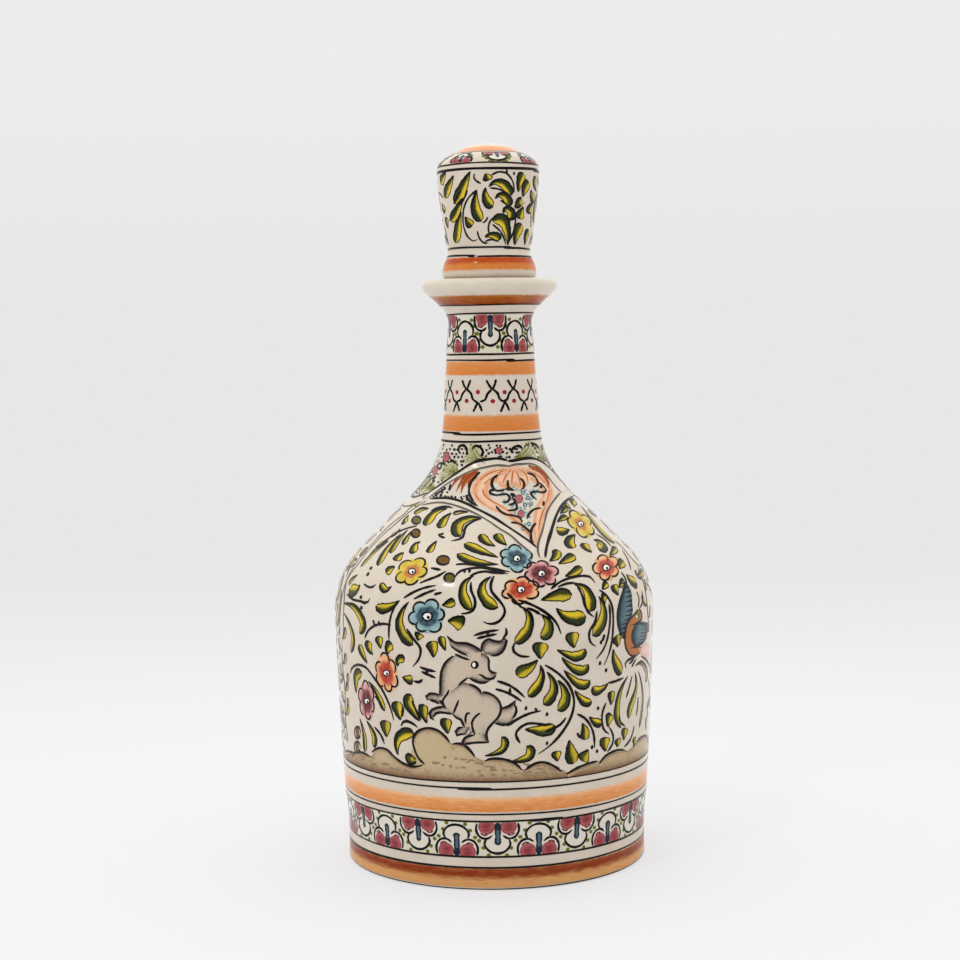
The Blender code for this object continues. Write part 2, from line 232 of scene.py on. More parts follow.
# Stems and tendrils, from root to end
STEMS = (
    (417, 526, 405, 529, 395, 534, 385, 541, 375, 549, 366, 560), (431, 511, 438, 507.5, 445, 506.5, 453, 508),
    (481, 519, 472, 522, 465, 528, 464, 534, 462, 538, 456, 540, 451, 541),
    (456, 564.5, 465, 564, 475, 565, 490, 568, 510, 572),
    (455, 577, 459, 572, 465, 569.5, 475, 568, 485, 568, 495, 570, 508, 574), (464, 569, 465, 573),
    (470, 569, 469, 573), (470, 576, 478, 572.5, 485, 571.5, 493, 572.5, 505, 574),
    (471, 582, 471, 590, 475, 600, 475, 606, 472, 611, 468, 613, 461, 613.5),
    (494, 576, 491, 583, 491, 590, 496, 597, 502, 604, 505, 611, 503, 617, 498, 622, 490, 624, 483, 621.5),
    (577, 586, 582, 595, 585, 606, 588, 612, 594, 617),
    (597, 611, 594, 624, 590, 630, 589, 637, 591, 643, 596, 646.5), (404, 598, 412, 593, 424, 588, 436, 585.5),
    (414, 599, 424, 594, 436, 589.5), (420, 583, 430, 579, 438, 576, 446, 571), (434, 594.5, 442, 592.5),
    (431, 568, 441, 570), (551, 589, 560, 582, 570, 578, 580, 576, 590, 577, 595, 583),
    (558, 587, 567, 583.5, 577, 583), (507, 593, 514, 600, 523, 609),
    (518, 600, 530, 604, 540, 609, 550, 616, 557, 624, 560, 631, 561, 634), (527, 608, 535, 611, 541, 615),
    (514.4, 643.4, 513, 650, 518, 655, 530, 656.5),
    (599, 590, 606, 595, 611, 603, 613, 615, 613, 628, 612, 640, 609, 653, 604, 665),
    (609, 604, 610, 615, 609, 630, 607, 640, 603, 650, 596, 659),
    (545, 665, 560, 675, 570, 687, 574, 701, 572, 714, 563, 731, 550, 745.5, 538, 754),
    (577, 714, 584.5, 718, 592, 729, 594.5, 748), (606, 703, 602.5, 712, 602, 722, 604, 730, 609, 734),
    (609, 727, 613, 735, 613, 742, 607, 752), (566, 717.5, 561, 724, 552, 729, 543.5, 732),
    (608, 683, 616, 681, 623.7, 677.7), (507, 726, 515, 720.6, 527, 714.4, 541, 710.7), (535, 708, 537, 711),
    (365, 638, 368, 631, 374, 626, 380, 624, 391, 625), (373, 620, 375, 626), (378, 621, 381, 626),
    (474, 635.5, 486, 632, 499, 630), (477, 638.5, 487, 636, 497, 634), (487, 633, 490, 637),
    (420, 667, 428, 670, 436, 671.5), (421.5, 671.5, 429, 675, 436, 678), (426, 670, 428, 673.5),
    (497, 681, 510.5, 686, 525, 697.6), (495.6, 689, 508.7, 693.3, 521.7, 701.4), (510, 688, 510, 696),
    (438, 535, 444, 533.5), (439, 536, 445, 538),
    (350.5, 673, 352, 668, 357, 664.7, 363.6, 666, 373.5, 677, 383.5, 692, 389.7, 705.7, 394, 720.6),
    (347, 594, 354, 600, 360, 601, 366, 603, 369, 601, 370, 598), (364, 584, 371, 587.5, 376, 584.5),
    (397, 602, 393, 610, 390, 620, 389, 640), (406.5, 628.7, 414.2, 640, 420.5, 648.4, 419.8, 656.8, 412.8, 666.6),
    (401, 726, 404.6, 721, 411, 722.5, 417.7, 727.5), (505.7, 628, 506.6, 633, 502.4, 638.5),
    (621, 572, 625, 578, 627, 585), (414, 681, 419, 682, 423, 679), (375, 696, 380, 703, 384, 711),
    (403.5, 707, 403, 712, 402, 717), (412, 701, 416, 710, 421, 720), (374.5, 727, 381, 735, 384.5, 744),
    (520, 743, 516, 733, 521, 727, 528, 723.5, 536, 723.5, 546, 725, 553, 724), (577, 733, 580, 738),
    (619, 716, 621, 723, 625, 726), (632, 676, 629, 688, 626, 698), (638, 697, 637.5, 707, 636, 716),
    (626, 668, 625, 664, 628, 660, 636, 657), (629, 664, 634, 659), (631.5, 667, 636, 659),
    (641, 656, 647, 661, 650, 668), (634, 726, 632, 735, 630, 740, 624, 747), (596, 534, 605, 540, 612, 547),
    (615, 541, 622, 547, 627, 553, 633, 560, 640, 567), (622, 550, 627, 558, 631, 570),
)
# Dots and short dashes between the stems
DOTS = (
    371, 568, 368, 574, 361, 597, 361.5, 607.5, 604, 636, 603, 639, 601, 642, 600, 663, 606, 670, 598, 708, 547, 714,
    526, 708, 547, 743, 592, 747, 597, 751,
)
# The double line of the frame, from the shoulder down the side
FRAME_LINES = (
    (
        426, 497, 418, 502, 410, 508, 403, 515, 395, 521, 388, 527, 380, 535, 372, 544, 362, 555, 356, 563, 351, 571,
        347, 579, 344, 588, 342, 597, 340.5, 610, 340, 640,
    ),
    (
        426, 501, 418, 506, 408, 513, 400, 520, 392, 527, 385, 533, 378, 540, 368, 551, 359, 563, 352, 572, 347, 580,
        345, 590, 344, 605, 343, 640,
    ),
)
# The hare: its outlines, then the strokes drawn firmer
HARE_LINES = (
    (447, 636, 454, 642, 467, 643.5, 477, 648, 482, 652), (488, 657, 489, 663, 488.5, 668, 490, 671, 497, 673),
    (496, 675, 494, 678, 490, 679, 486, 678.5, 482, 675.5, 478, 674),
    (468.7, 677.5, 474, 680.5, 481, 682.8, 486, 682.3, 489, 681.3), (451, 646, 456, 650, 462, 653, 468, 656),
    (455, 654, 461, 657, 470, 660),
    (
        481.5, 652, 481.8, 646, 484, 641.5, 489, 639, 494, 641, 501, 641.3, 505, 638.5, 506.4, 640, 505.5, 645, 502,
        652, 496, 655.3, 490, 655.6,
    ),
    (453, 656, 446, 662, 441.5, 671, 440.5, 680, 440.3, 690, 439.5, 696),
    (439.5, 695, 434, 693.5, 428.5, 694, 425.8, 697, 427.5, 700.5), (430, 700, 434, 701, 439, 704),
    (449, 690, 446, 696, 443, 699, 443.5, 705, 446, 709), (458.7, 700, 456, 707, 453, 714),
    (444.4, 706.5, 438, 707.5, 432, 709.5, 429.5, 714, 431, 718, 434.5, 720.3),
    (433.3, 717, 435, 714, 440, 712.3, 446, 713, 453, 714.3), (468, 677.5, 464, 680.5, 461, 683, 458, 685.7),
    (469, 684, 475, 686.5, 480, 690.5, 481.5, 694.5),
    (
        482.5, 692, 488, 693, 495, 696.5, 500, 703, 501, 710, 499, 716, 494, 722, 490, 726, 487, 731, 486.5, 737, 489,
        742.5,
    ),
    (453, 714.5, 457, 718, 461.5, 720, 463, 724, 465, 728),
    (463, 727, 458.5, 728, 455.5, 732, 456.5, 735.3, 461, 734, 466, 734.5),
    (470, 712.5, 467, 713.5, 465.5, 718, 466, 724), (480, 713, 475, 717, 472, 722, 472.5, 728, 475, 735),
    (474.5, 735, 468, 736.5, 463.5, 739, 462.5, 743, 464, 746), (465, 744, 475, 742.6, 489, 742.5),
    (502, 708, 508, 706.5, 513, 703, 516, 700), (514, 704, 516.5, 709, 515, 715, 512, 719),
    (495, 723, 500, 724.5, 507, 724.5, 511, 722), (440, 700, 441, 702, 442, 705),
)
# The hare's washes: each is an upper and a lower side, or a left and a right one, and how dark both sides are
HARE_WASHES = (
    (
        (453, 656, 446, 662, 441.5, 671, 440.5, 680, 440.3, 690, 440, 697),
        (481, 652, 480, 664, 471, 677, 465, 682, 458, 686, 449, 694), (1.0, 0.15),
    ),
    (
        (470, 650, 480, 652, 488.5, 657, 489, 664, 490, 670, 496.5, 673.5),
        (466, 677, 472, 680, 478, 682, 484, 683, 489, 681.5, 494, 678),
    ),
    ((448, 638, 456, 643, 467, 644.5, 477, 649, 483, 654), (450, 645, 456, 651, 464, 655, 473, 659, 480, 662)),
    (
        (482.5, 651, 483, 645, 487, 640.5, 493, 641.5, 501, 642, 505.5, 640),
        (485, 654, 491, 655, 497, 654.5, 502, 650.5, 505, 644),
    ),
    (
        (
            440, 690, 449, 690, 458, 685.7, 464, 682, 469, 684, 476, 687, 481.5, 692.5, 488, 693, 495, 696.5, 500,
            703, 501, 710,
        ),
        (
            440, 703, 446, 709, 453, 714, 457, 718, 462, 721, 466, 727, 475, 734, 487, 733, 490, 726, 496, 720, 500,
            714,
        ),
        (0.8, 0.35),
    ),
    ((468, 714, 465, 720, 470, 732, 464, 738, 463, 744), (500, 712, 495, 721, 488, 729, 486.5, 737, 489, 742.5)),
    ((439.5, 694.5, 434, 693.5, 428.5, 694, 425.8, 697), (440, 704, 434, 701.5, 430, 700.5, 427, 699.5)),
    (
        (446, 706, 438, 707.5, 432, 709.5, 429.5, 714, 431, 719),
        (454, 714.5, 446, 713.2, 440, 712.5, 435, 714.5, 433.5, 718.5),
    ),
    ((463, 727, 458.5, 728, 455.5, 732, 456.5, 735.3), (470, 727, 468, 731, 466, 734.5, 461, 734.5)),
    ((502, 708.5, 508, 706.5, 513, 703.5, 516, 700.5), (496, 723, 502, 724.8, 508, 724.5, 515, 716)),
)
# Arcs of the mounds at the foot of the field, each one the top of a rounded clod
MOUNDS = (
    (353, 757, 354, 753, 358.6, 752, 371, 757),
    (372, 752, 378.5, 748, 386, 749, 394.7, 757, 404.6, 764, 414.6, 766.7, 423, 765),
    (424.5, 764, 418, 757, 414.6, 749, 413, 739, 417, 732, 428, 728, 438, 730.6, 445.7, 737, 450.6, 744),
    (452.5, 744, 462, 744, 469, 749, 475, 757), (485, 761, 490, 759, 497.5, 758.6, 507, 760, 516, 764, 522, 770),
    (525.4, 770, 532, 765, 542, 762, 552, 765, 562, 772), (567, 774, 577, 768, 588, 763.6, 598, 761),
    (599.5, 763.6, 604.4, 756.7, 614.4, 751, 620, 749.5, 626, 751), (636.8, 741.8, 641.7, 736.8, 648, 735),
)
MOUND_WASH = (
    346, 754, 353, 753, 362, 753, 371, 757, 378.5, 748, 386, 749, 394.7, 757, 404.6, 764, 410.5, 766, 413, 741, 417,
    732.5, 428, 728.5, 438, 731, 445.7, 737, 450.6, 744, 462, 744.5, 469, 749, 475, 757, 484, 761, 490, 759.5, 497.5,
    759, 507, 760.5, 516, 764.5, 523, 770, 532, 765.5, 542, 762.5, 552, 765.5, 564, 773.5, 577, 768.5, 588, 764, 598,
    762, 604.4, 757, 614.4, 751.5, 620, 750, 628, 751, 636.8, 742, 641.7, 737.5, 646, 736,
)
# Where the brush left dirty streaks on the mounds
MOUND_STREAKS = (
    (432, 764, 470, 771, 508, 773), (448, 756, 476, 764, 500, 768), (512, 772, 540, 773, 566, 771),
    (352, 756, 376, 764, 404, 769), (524, 764, 540, 767, 556, 768),
)
# The mounds' tops at the side, in degrees and millimetres, and the height of their foot
MOUND_SIDE = ((77, 47.5), (80, 44.5), (82.5, 47), (87, 49), (91.5, 47.5), (94, 44.3), (97, 46), (101, 47), (104, 45))
MOUND_SIDE_ARCS = (
    ((68, 50.4), (73.3, 49.6), (77, 47.6), (80.2, 44)),
    ((79.5, 44.2), (83, 47.3), (87.5, 49), (92, 47.3), (94.2, 44)),
    ((94, 44.2), (97.5, 46.3), (101, 47), (104.5, 44.6)), ((104.5, 44.6), (108, 45.4), (112, 46), (116, 46.5)),
)
MOUND_FOOT = 41.1
# The pale ribbons that frame the shoulder's panel: the black side and the grey side of each
RIBBONS = (
    (
        (430, 499, 450, 498.5, 465, 503, 475, 508, 485, 513, 495, 518.5, 505, 525, 520, 535, 530, 542, 538, 549),
        (422, 505, 440, 502.5, 460, 507, 470, 511, 480, 516, 490, 522, 500, 529, 510, 535, 520, 544, 533, 554),
    ),
    (
        (574, 495, 567, 500, 560, 508, 556, 516, 553, 525, 550, 535, 547, 545, 545, 558),
        (560, 493, 552, 503, 547, 512, 545, 520, 542, 532, 538, 545, 538, 552, 540, 558),
    ),
    (
        (422, 498, 430, 492, 440, 485, 450, 478, 460, 471, 470, 464.5, 478, 461, 487, 459.5, 500, 458.7, 509, 461.2),
        (430, 497, 440, 489, 450, 482, 460, 476.5, 470, 471.5, 478, 469, 487, 467, 495, 465.5, 511, 466.5),
    ),
    (
        (508, 461.3, 515, 460.5, 525, 458.5, 533, 458.5, 540, 461, 546, 465, 552, 471, 560, 480, 568, 490),
        (509, 466, 515, 464.5, 522, 464, 532, 464, 540, 468, 546, 474, 552, 482, 557, 488, 562, 493),
    ),
)
# Its palmette: washes between two sides, streaks, burnt flames and black scrolls
PALMETTE_WASHES = (
    (
        (
            511, 467, 495, 468, 482, 474, 473, 483, 471, 493, 477, 502, 489, 509, 505, 516, 518, 526, 532, 541, 537,
            548,
        ),
        (
            512, 477, 501, 479, 492, 484, 488, 490, 490, 497, 499, 503, 509, 509, 518, 518, 526, 528, 533, 537, 538,
            545,
        ),
    ),
    (
        (516, 467, 528, 468, 541, 475, 551, 485, 554, 494, 549, 505, 544, 518, 541, 531, 538, 545),
        (516, 476, 526, 478, 535, 483, 541, 489, 542, 496, 536, 505, 533, 517, 533, 531, 537, 543),
    ),
    ((494, 470, 503, 467, 513, 466, 523, 467, 533, 471), (499, 486, 506, 490, 513, 488, 521, 490, 528, 485)),
)
PALMETTE_STREAKS = (
    (510, 469, 496, 471, 485, 476, 477, 484, 475, 493, 480, 501, 491, 507),
    (511, 473, 499, 475, 489, 480, 483, 487, 484, 494, 490, 500, 501, 506, 513, 515), (513, 468, 506, 476, 502, 485),
    (514, 468, 512, 478, 512, 487), (515, 468, 519, 478, 521, 488), (516, 468, 526, 475, 528, 484),
    (520, 469, 533, 473, 543, 481, 549, 490, 547, 500, 541, 512), (504, 512, 516, 521, 527, 532, 534, 542),
    (547, 503, 541, 517, 538, 532), (512, 468, 497, 476, 496, 483),
)
PALMETTE_FLAMES = (
    (528, 466, 538, 469, 545, 476, 550, 485), (531, 466, 540, 471, 546, 479, 549, 488),
    (535, 467, 544, 473, 551, 481), (479, 469, 468, 475, 461, 483, 456, 492),
    (478, 472, 468, 479, 463, 486, 461, 494), (476, 469, 464, 474, 455, 482, 450, 490),
    (477, 475, 470, 482, 468, 488), (474, 469, 463, 472, 456, 477),
)
PALMETTE_SCROLLS = (
    (470, 470.5, 478, 467.3, 487, 466, 497, 465.2, 511, 466), (472, 469, 482, 466.3, 492, 465.2, 503, 465),
    (480, 472, 474, 478, 470, 485, 469, 492, 471, 498, 474, 502), (498, 475, 493, 479, 492, 486, 495, 490, 506, 489),
    (491, 489, 490, 493, 495, 495, 508, 495, 510, 498, 507, 502, 502, 502), (508, 480, 508, 486, 511, 490, 515, 490),
    (520, 478, 524, 483, 524, 487, 521, 490), (527, 473, 533, 475, 537, 480, 538, 484, 533, 487),
    (538, 482, 543, 486, 546, 491, 543, 492.5, 536, 491.5, 531, 493, 537, 500), (512, 497, 515, 502, 508, 505.5),
    (516, 503, 517, 508, 507, 510.5), (496, 506, 499, 510, 505, 514, 515, 516, 520, 518, 522, 523),
    (511, 522.5, 520, 524, 527, 529, 531, 534, 531, 540, 534, 543), (536, 523, 532, 528, 531, 535),
    (544, 501, 543, 506), (541, 508, 533, 510, 529, 514, 527, 519), (450.5, 484, 449.5, 491),
    (436, 495, 442, 490.5, 446, 489), (466, 495, 468, 499.5, 472, 503, 478, 506),
)
# Lozenges and dots of the panel: middle, half width, half height, tilt and the colour's name
PANEL_SPOTS = (
    (519, 499, 4, 4.6, 20, "red"), (521, 514, 3.6, 4.2, 10, "red"), (509, 489, 3.4, 1.8, 0, "black"),
    (513, 495, 3, 1.8, 30, "black"), (493, 490, 1.6, 1.6, 0, "black"), (541, 487, 1.6, 1.6, 0, "black"),
    (523, 493, 2, 2, 0, "teal"), (528, 498, 2, 2, 0, "teal"), (525, 505, 2, 2, 0, "teal"),
    (531, 504, 2, 2, 0, "teal"), (529, 524, 2, 2, 0, "teal"), (523, 529, 1.8, 1.8, 0, "teal"),
    (436, 495, 1.6, 1.4, 0, "black"), (441, 495, 1.6, 1.4, 0, "black"),
)
# Areas that are sprinkled with dots: the panel's left corner, its heart, and the garland
PANEL_CORNER = (
    426, 497, 437, 489, 449, 481, 452, 487, 447, 494, 458, 494, 468, 492, 472, 501, 482, 508, 470, 504, 452, 497,
)
PANEL_HEART = (
    493, 487, 520, 487, 540, 486, 541, 494, 534, 503, 531, 517, 531, 533, 520, 520, 508, 508, 500, 500, 492, 496,
)
GARLAND_AREA = (
    441, 445, 540, 445, 546, 459, 552, 469, 563, 482, 572, 493, 562, 481, 548, 464, 535, 456, 515, 457, 507, 458, 487,
    457, 470, 462, 450, 475, 432, 488, 408, 507, 420, 488, 430, 471, 437, 458,
)
# Leafy fans of the garland: root, aim and spread in degrees, length, breadth and number of leaves
GARLAND_FANS = (
    (489, 462, 192, 40, 25, 7.5, 8), (462, 477, 206, 42, 22, 6.5, 8), (512, 460.5, -18, 30, 25, 7.5, 8),
    (541, 463, -72, 36, 15, 6, 6), (438, 492, 208, 40, 19, 6, 7), (419, 507, 216, 32, 17, 5, 6),
    (560, 480, -44, 34, 13, 5, 6),
)
GARLAND_HOOKS = (
    (459, 452, 459, 447, 463, 445, 467, 449, 466, 455), (472, 450, 475, 446, 480, 447, 483, 453, 480, 457),
    (511, 453, 513, 448, 519, 446, 523, 449), (524, 447, 529, 443.5, 536, 445, 540, 450),
    (440, 470, 437, 465, 442, 463, 447, 466), (448, 463, 453, 461, 457, 465),
    (424, 488, 420, 484, 424, 479, 430, 481), (409, 500, 406, 497, 411, 491, 418, 493),
    (545, 452, 549, 449, 554, 453, 556, 459), (565, 470, 570, 470, 574, 476),
)
GARLAND_SPOTS = (
    (446.5, 457, 4.2, 5.4, 5, "red"), (435.5, 471, 4, 5.0, 20, "red"), (499, 450.5, 3.8, 3.6, 0, "red"),
    (553, 461, 3.4, 4.4, -20, "red"), (426, 478, 2.6, 3.6, 20, "red"),
)
# The stopper's leaves, arches and stems
STOPPER_LEAVES = (
    (6.5, 446, 172.5, 443, 178, 440.7, 183.5), (7, 454, 175.7, 450, 184, 446.5, 193, 446, 198.5),
    (9.5, 470.5, 171.5, 465, 183, 460, 194, 454.5, 204), (7.5, 463, 198, 459, 207, 455, 215, 450, 221),
    (7, 461.5, 212, 459, 222, 457.5, 232, 455.5, 243), (9.5, 477, 190, 475.5, 200, 476, 210, 481.5, 221.5),
    (7.5, 465.5, 216.5, 468, 221, 472, 226.5), (9, 486, 187.5, 485.5, 195, 488, 202, 493, 207),
    (9, 489, 187, 495, 182.5, 503, 184, 508, 189, 511.5, 195.5),
    (8, 495.5, 199, 499, 195.5, 504, 196, 508, 201, 509, 206.5), (8, 503.5, 213.5, 506, 209, 510, 211, 511, 220.5),
    (10.5, 507.5, 245, 507, 232, 502, 220, 492, 220.5), (7.5, 485, 237.5, 490, 235.5, 495, 236, 500, 240),
    (9, 485.5, 173.5, 487, 176, 488.5, 180.5), (7.5, 518.5, 192, 520, 182, 523, 172.5),
    (7, 523, 197, 525, 189, 528.5, 181), (5, 536.5, 191, 534.5, 184, 535.5, 176.5),
    (6, 531, 189.5, 532, 196, 534, 202), (8, 521.5, 197.5, 519.5, 202, 520.5, 207),
    (7.5, 523.5, 207, 521, 213, 519, 219), (7, 533, 203.5, 530, 208, 529, 213.5),
    (8, 515, 245, 517, 234, 521.5, 223.5), (5.5, 525, 245, 526, 237, 528.5, 229.5),
    (5, 442, 203, 443, 207, 445.5, 211.5), (5, 448.5, 228, 447, 222, 446.5, 217),
)
STOPPER_STEMS = (
    (474.6, 173.5, 474, 178, 476.5, 181, 481, 183.5), (491.6, 175, 498, 172, 506, 173, 512, 180, 514.4, 192.5),
    (477, 190, 468.4, 198, 464, 208, 463, 217, 464, 227.5, 468.4, 237.3, 473.8, 241, 477.5, 239),
    (477.3, 231, 480, 239, 483.6, 242.7, 488.5, 243), (482.5, 223, 485.5, 221, 488, 216.5),
    (497, 216, 490.7, 220.4, 488.5, 226.6, 489.4, 235), (492.5, 224.4, 501.4, 232.9, 505.9, 245),
    (515.7, 217.7, 514, 229.3, 509.5, 241), (467.5, 190, 463, 200.7, 459.5, 206), (438.5, 193.6, 439.4, 206.5),
    (444.7, 226.6, 448.8, 245.4), (530.9, 214, 530.9, 228), (531, 236.4, 529, 245.4),
    (526.4, 207.9, 527.3, 212.3, 530.9, 213.7), (461, 190.5, 456, 199, 453.5, 204),
    (485, 241.5, 491, 239.5, 499, 241.8), (490, 188, 500, 189.5, 510, 195.5), (500.5, 200, 504, 202.5, 508.5, 205.5),
    (505, 214.5, 507, 218, 511, 220.5),
)
STOPPER_DOTS = (506.8, 171.3, 514, 173.5)
BUTTERFLY_WINGS = (
    (
        (626.1, 581.7, 622.8, 591.1, 618.9, 604.4, 617.2, 616.7, 618.3, 626.7, 621.1, 634.4, 625, 638.3),
        (626.3, 582, 629.1, 586.7, 631.7, 594.4, 632.2, 603.3, 632.8, 611.1, 630.6, 617.8, 627.8, 623.3, 626.1, 636),
    ),
    (
        (636.7, 623.3, 633.3, 628.9, 631.7, 635.6, 632.8, 642.2, 636.7, 645.8),
        (637.5, 622.8, 643, 622, 648.3, 623.1, 647.2, 632.2, 646.1, 638.9, 642.2, 643.3, 637.5, 645.8),
    ),
)
BUTTERFLY_MAUVE = (
    (639, 648.5, 643, 645, 646, 642.5, 648.3, 645, 649, 650),
    (640, 653, 643.5, 655.5, 646, 658, 648.3, 656, 649, 650),
)
BUTTERFLY_BODY = (
    (
        637.5, 609.5, 635.6, 612.8, 630, 618.9, 626.1, 627.8, 624.7, 638.9, 626.7, 650, 631.1, 655.6, 635.6, 655.6,
        640, 652.5,
    ),
    (
        639.5, 609, 641.7, 614.4, 641.1, 620, 636.7, 623.3, 633.3, 628.9, 631.7, 635.6, 632.8, 642.2, 635.6, 646.1,
        641.5, 647,
    ),
)
BUTTERFLY_FEELERS = (
    (636.7, 591.7, 638.9, 598.9, 637.8, 607.8), (641.7, 591.1, 642.6, 596.7, 641.1, 605.6, 638.9, 608.9),
)
# Turned lines: height, width, and where the ends pass each other, in millimetres and degrees
RING_HEIGHTS = (
    (41.3, 0.6, 170), (38.7, 0.72, -14), (29.0, 0.58, 200), (26.2, 0.72, 12), (12.7, 0.72, 150), (8.7, 0.75, 220),
    (0.7, 0.5, 180), (213.9, 0.75, 150), (195.9, 0.7, 20), (167.8, 0.72, -50), (164.8, 0.8, 160),
)
RING_ROWS = ((304.5, 0.75, 100), (354.0, 0.72, 190))
NECK_MIDDLE = 491.0
HEAD_MIDDLE = 488.0
# Bands: upper and lower picture row, the column they were read in, colours, soft edges and profile
BAND_ROWS = (
    (797.0, 813.0, 496.0, "orange", "apricot", 0.35, 0.1, WATERY),
    (868.0, 889.0, 496.0, "sienna", "ochre", 0.03, 0.03, BURNT),
    (294.5, 304.5, 491.0, "sienna", "russet", 0.2, 0.03, WATERY),
    (361.0, 375.8, 491.0, "amber", "tangerine", 0.08, 0.2, WATERY),
    (414.5, 432.0, 491.0, "amber", "tangerine", 0.25, 0.05, WATERY),
)
FRIEZE_HEIGHTS = (12.9, 26.0)
NECK_FRIEZE_HEIGHTS = (198.8, 213.6)
CHAIN_ROW = 395.5
CHAIN_WAVES = 12
HEAD_RING_ROWS = ((151.2, 0.4, 90), (162.5, 0.6, 200), (168.5, 0.95, 60), (247.5, 0.75, 20), (255.5, 0.8, -30))
HEAD_BAND_ROWS = (
    (146.0, 151.0, "amber", "apricot", 0.1, 0.1, WATERY), (256.4, 270.5, "ember", "orange", 0.03, 0.25, BURNT),
)
CROWN_ROWS = (151.8, 161.8)
# Half the side of the floor, in metres
FLOOR_REACH = 40.0
# Copies of the brushwork: turn, then the least and greatest turn and rise of what is copied, degrees and mm.
# The back repeats the front, and each side between them takes a strip of its branch and one of its left shoulder.
FRONT = ((0.0, -999.0, 999.0, -99.0, 999.0),)
FRONT_AND_BACK = (*FRONT, (180.0, -999.0, 999.0, -99.0, 999.0))
ALL_ROUND = (
    (0.0, -77.0, 76.0, -99.0, 999.0), (180.0, -77.0, 76.0, -99.0, 999.0), (67.0, 11.0, 41.0, -99.0, 117.0),
    (247.0, 11.0, 41.0, -99.0, 117.0), (128.0, -48.0, -20.0, 117.0, 151.0), (308.0, -48.0, -20.0, 117.0, 151.0),
    (0.0, 95.0, 125.0, -99.0, 999.0), (180.0, 95.0, 125.0, -99.0, 999.0),
)
ROUND_HEAD = (*FRONT_AND_BACK, (90.0, -16.0, 14.0, -99.0, 999.0), (270.0, -16.0, 14.0, -99.0, 999.0))
# Sprigs at the side: the stem of each in degrees and millimetres
SPRIGS = (((110.5, 50), (109, 60), (110.5, 70), (109, 80), (110, 90)), ((74, 117), (71, 108), (70.5, 99), (73, 91)))
# The garland where it hangs down at the side: turn in degrees and rise in millimetres of its hem's two edges
HEM = (
    ((77, 163), (88, 157.5), (100, 155), (112, 155.3), (123, 157.8)),
    ((80.5, 154.6), (88, 152), (100, 150), (112, 150.5), (124, 153.3)),
)
# Its limits above the hem: rises, and there the turns on its left and right
HEM_RISES = (150.0, 159.0, 167.0, 178.5)
HEM_TURNS = ((80.0, 80.0, 77.0, 68.0), (113.0, 103.0, 95.0, 95.0))
# Its fans and red spots: turn and rise, then the fan's aim, spread, reach, breadth and number of leaves
HEM_FANS = ((90, 159.5, 80, 46, 8.5, 2.2, 8), (99, 157.5, 100, 50, 9.5, 2.4, 9), (108, 157, 75, 42, 7.5, 2.1, 7))
HEM_SPOTS = ((79, 171), (91, 172), (103, 168.5))


def length(name, description, default):
    """A size in metres that a user can change."""
    return bpy.props.FloatProperty(
        name=name, description=description, default=default, min=0.0, precision=5,
        unit="LENGTH", subtype="DISTANCE",
    )


def linear(hex_colour):
    """Turns an sRGB hex colour such as E0995F into linear red, green, blue and full alpha."""
    parts = np.array([int(hex_colour[at:at + 2], 16) for at in (0, 2, 4)]) / 255.0
    low = parts / 12.92
    high = ((parts + 0.055) / 1.055) ** 2.4
    return (*np.where(parts <= 0.04045, low, high).tolist(), 1.0)


def colour(name, description, hex_colour):
    """A colour that a user can change, given in sRGB hex."""
    return bpy.props.FloatVectorProperty(
        name=name, description=description, default=linear(hex_colour), size=4, min=0.0, max=1.0,
        subtype="COLOR",
    )


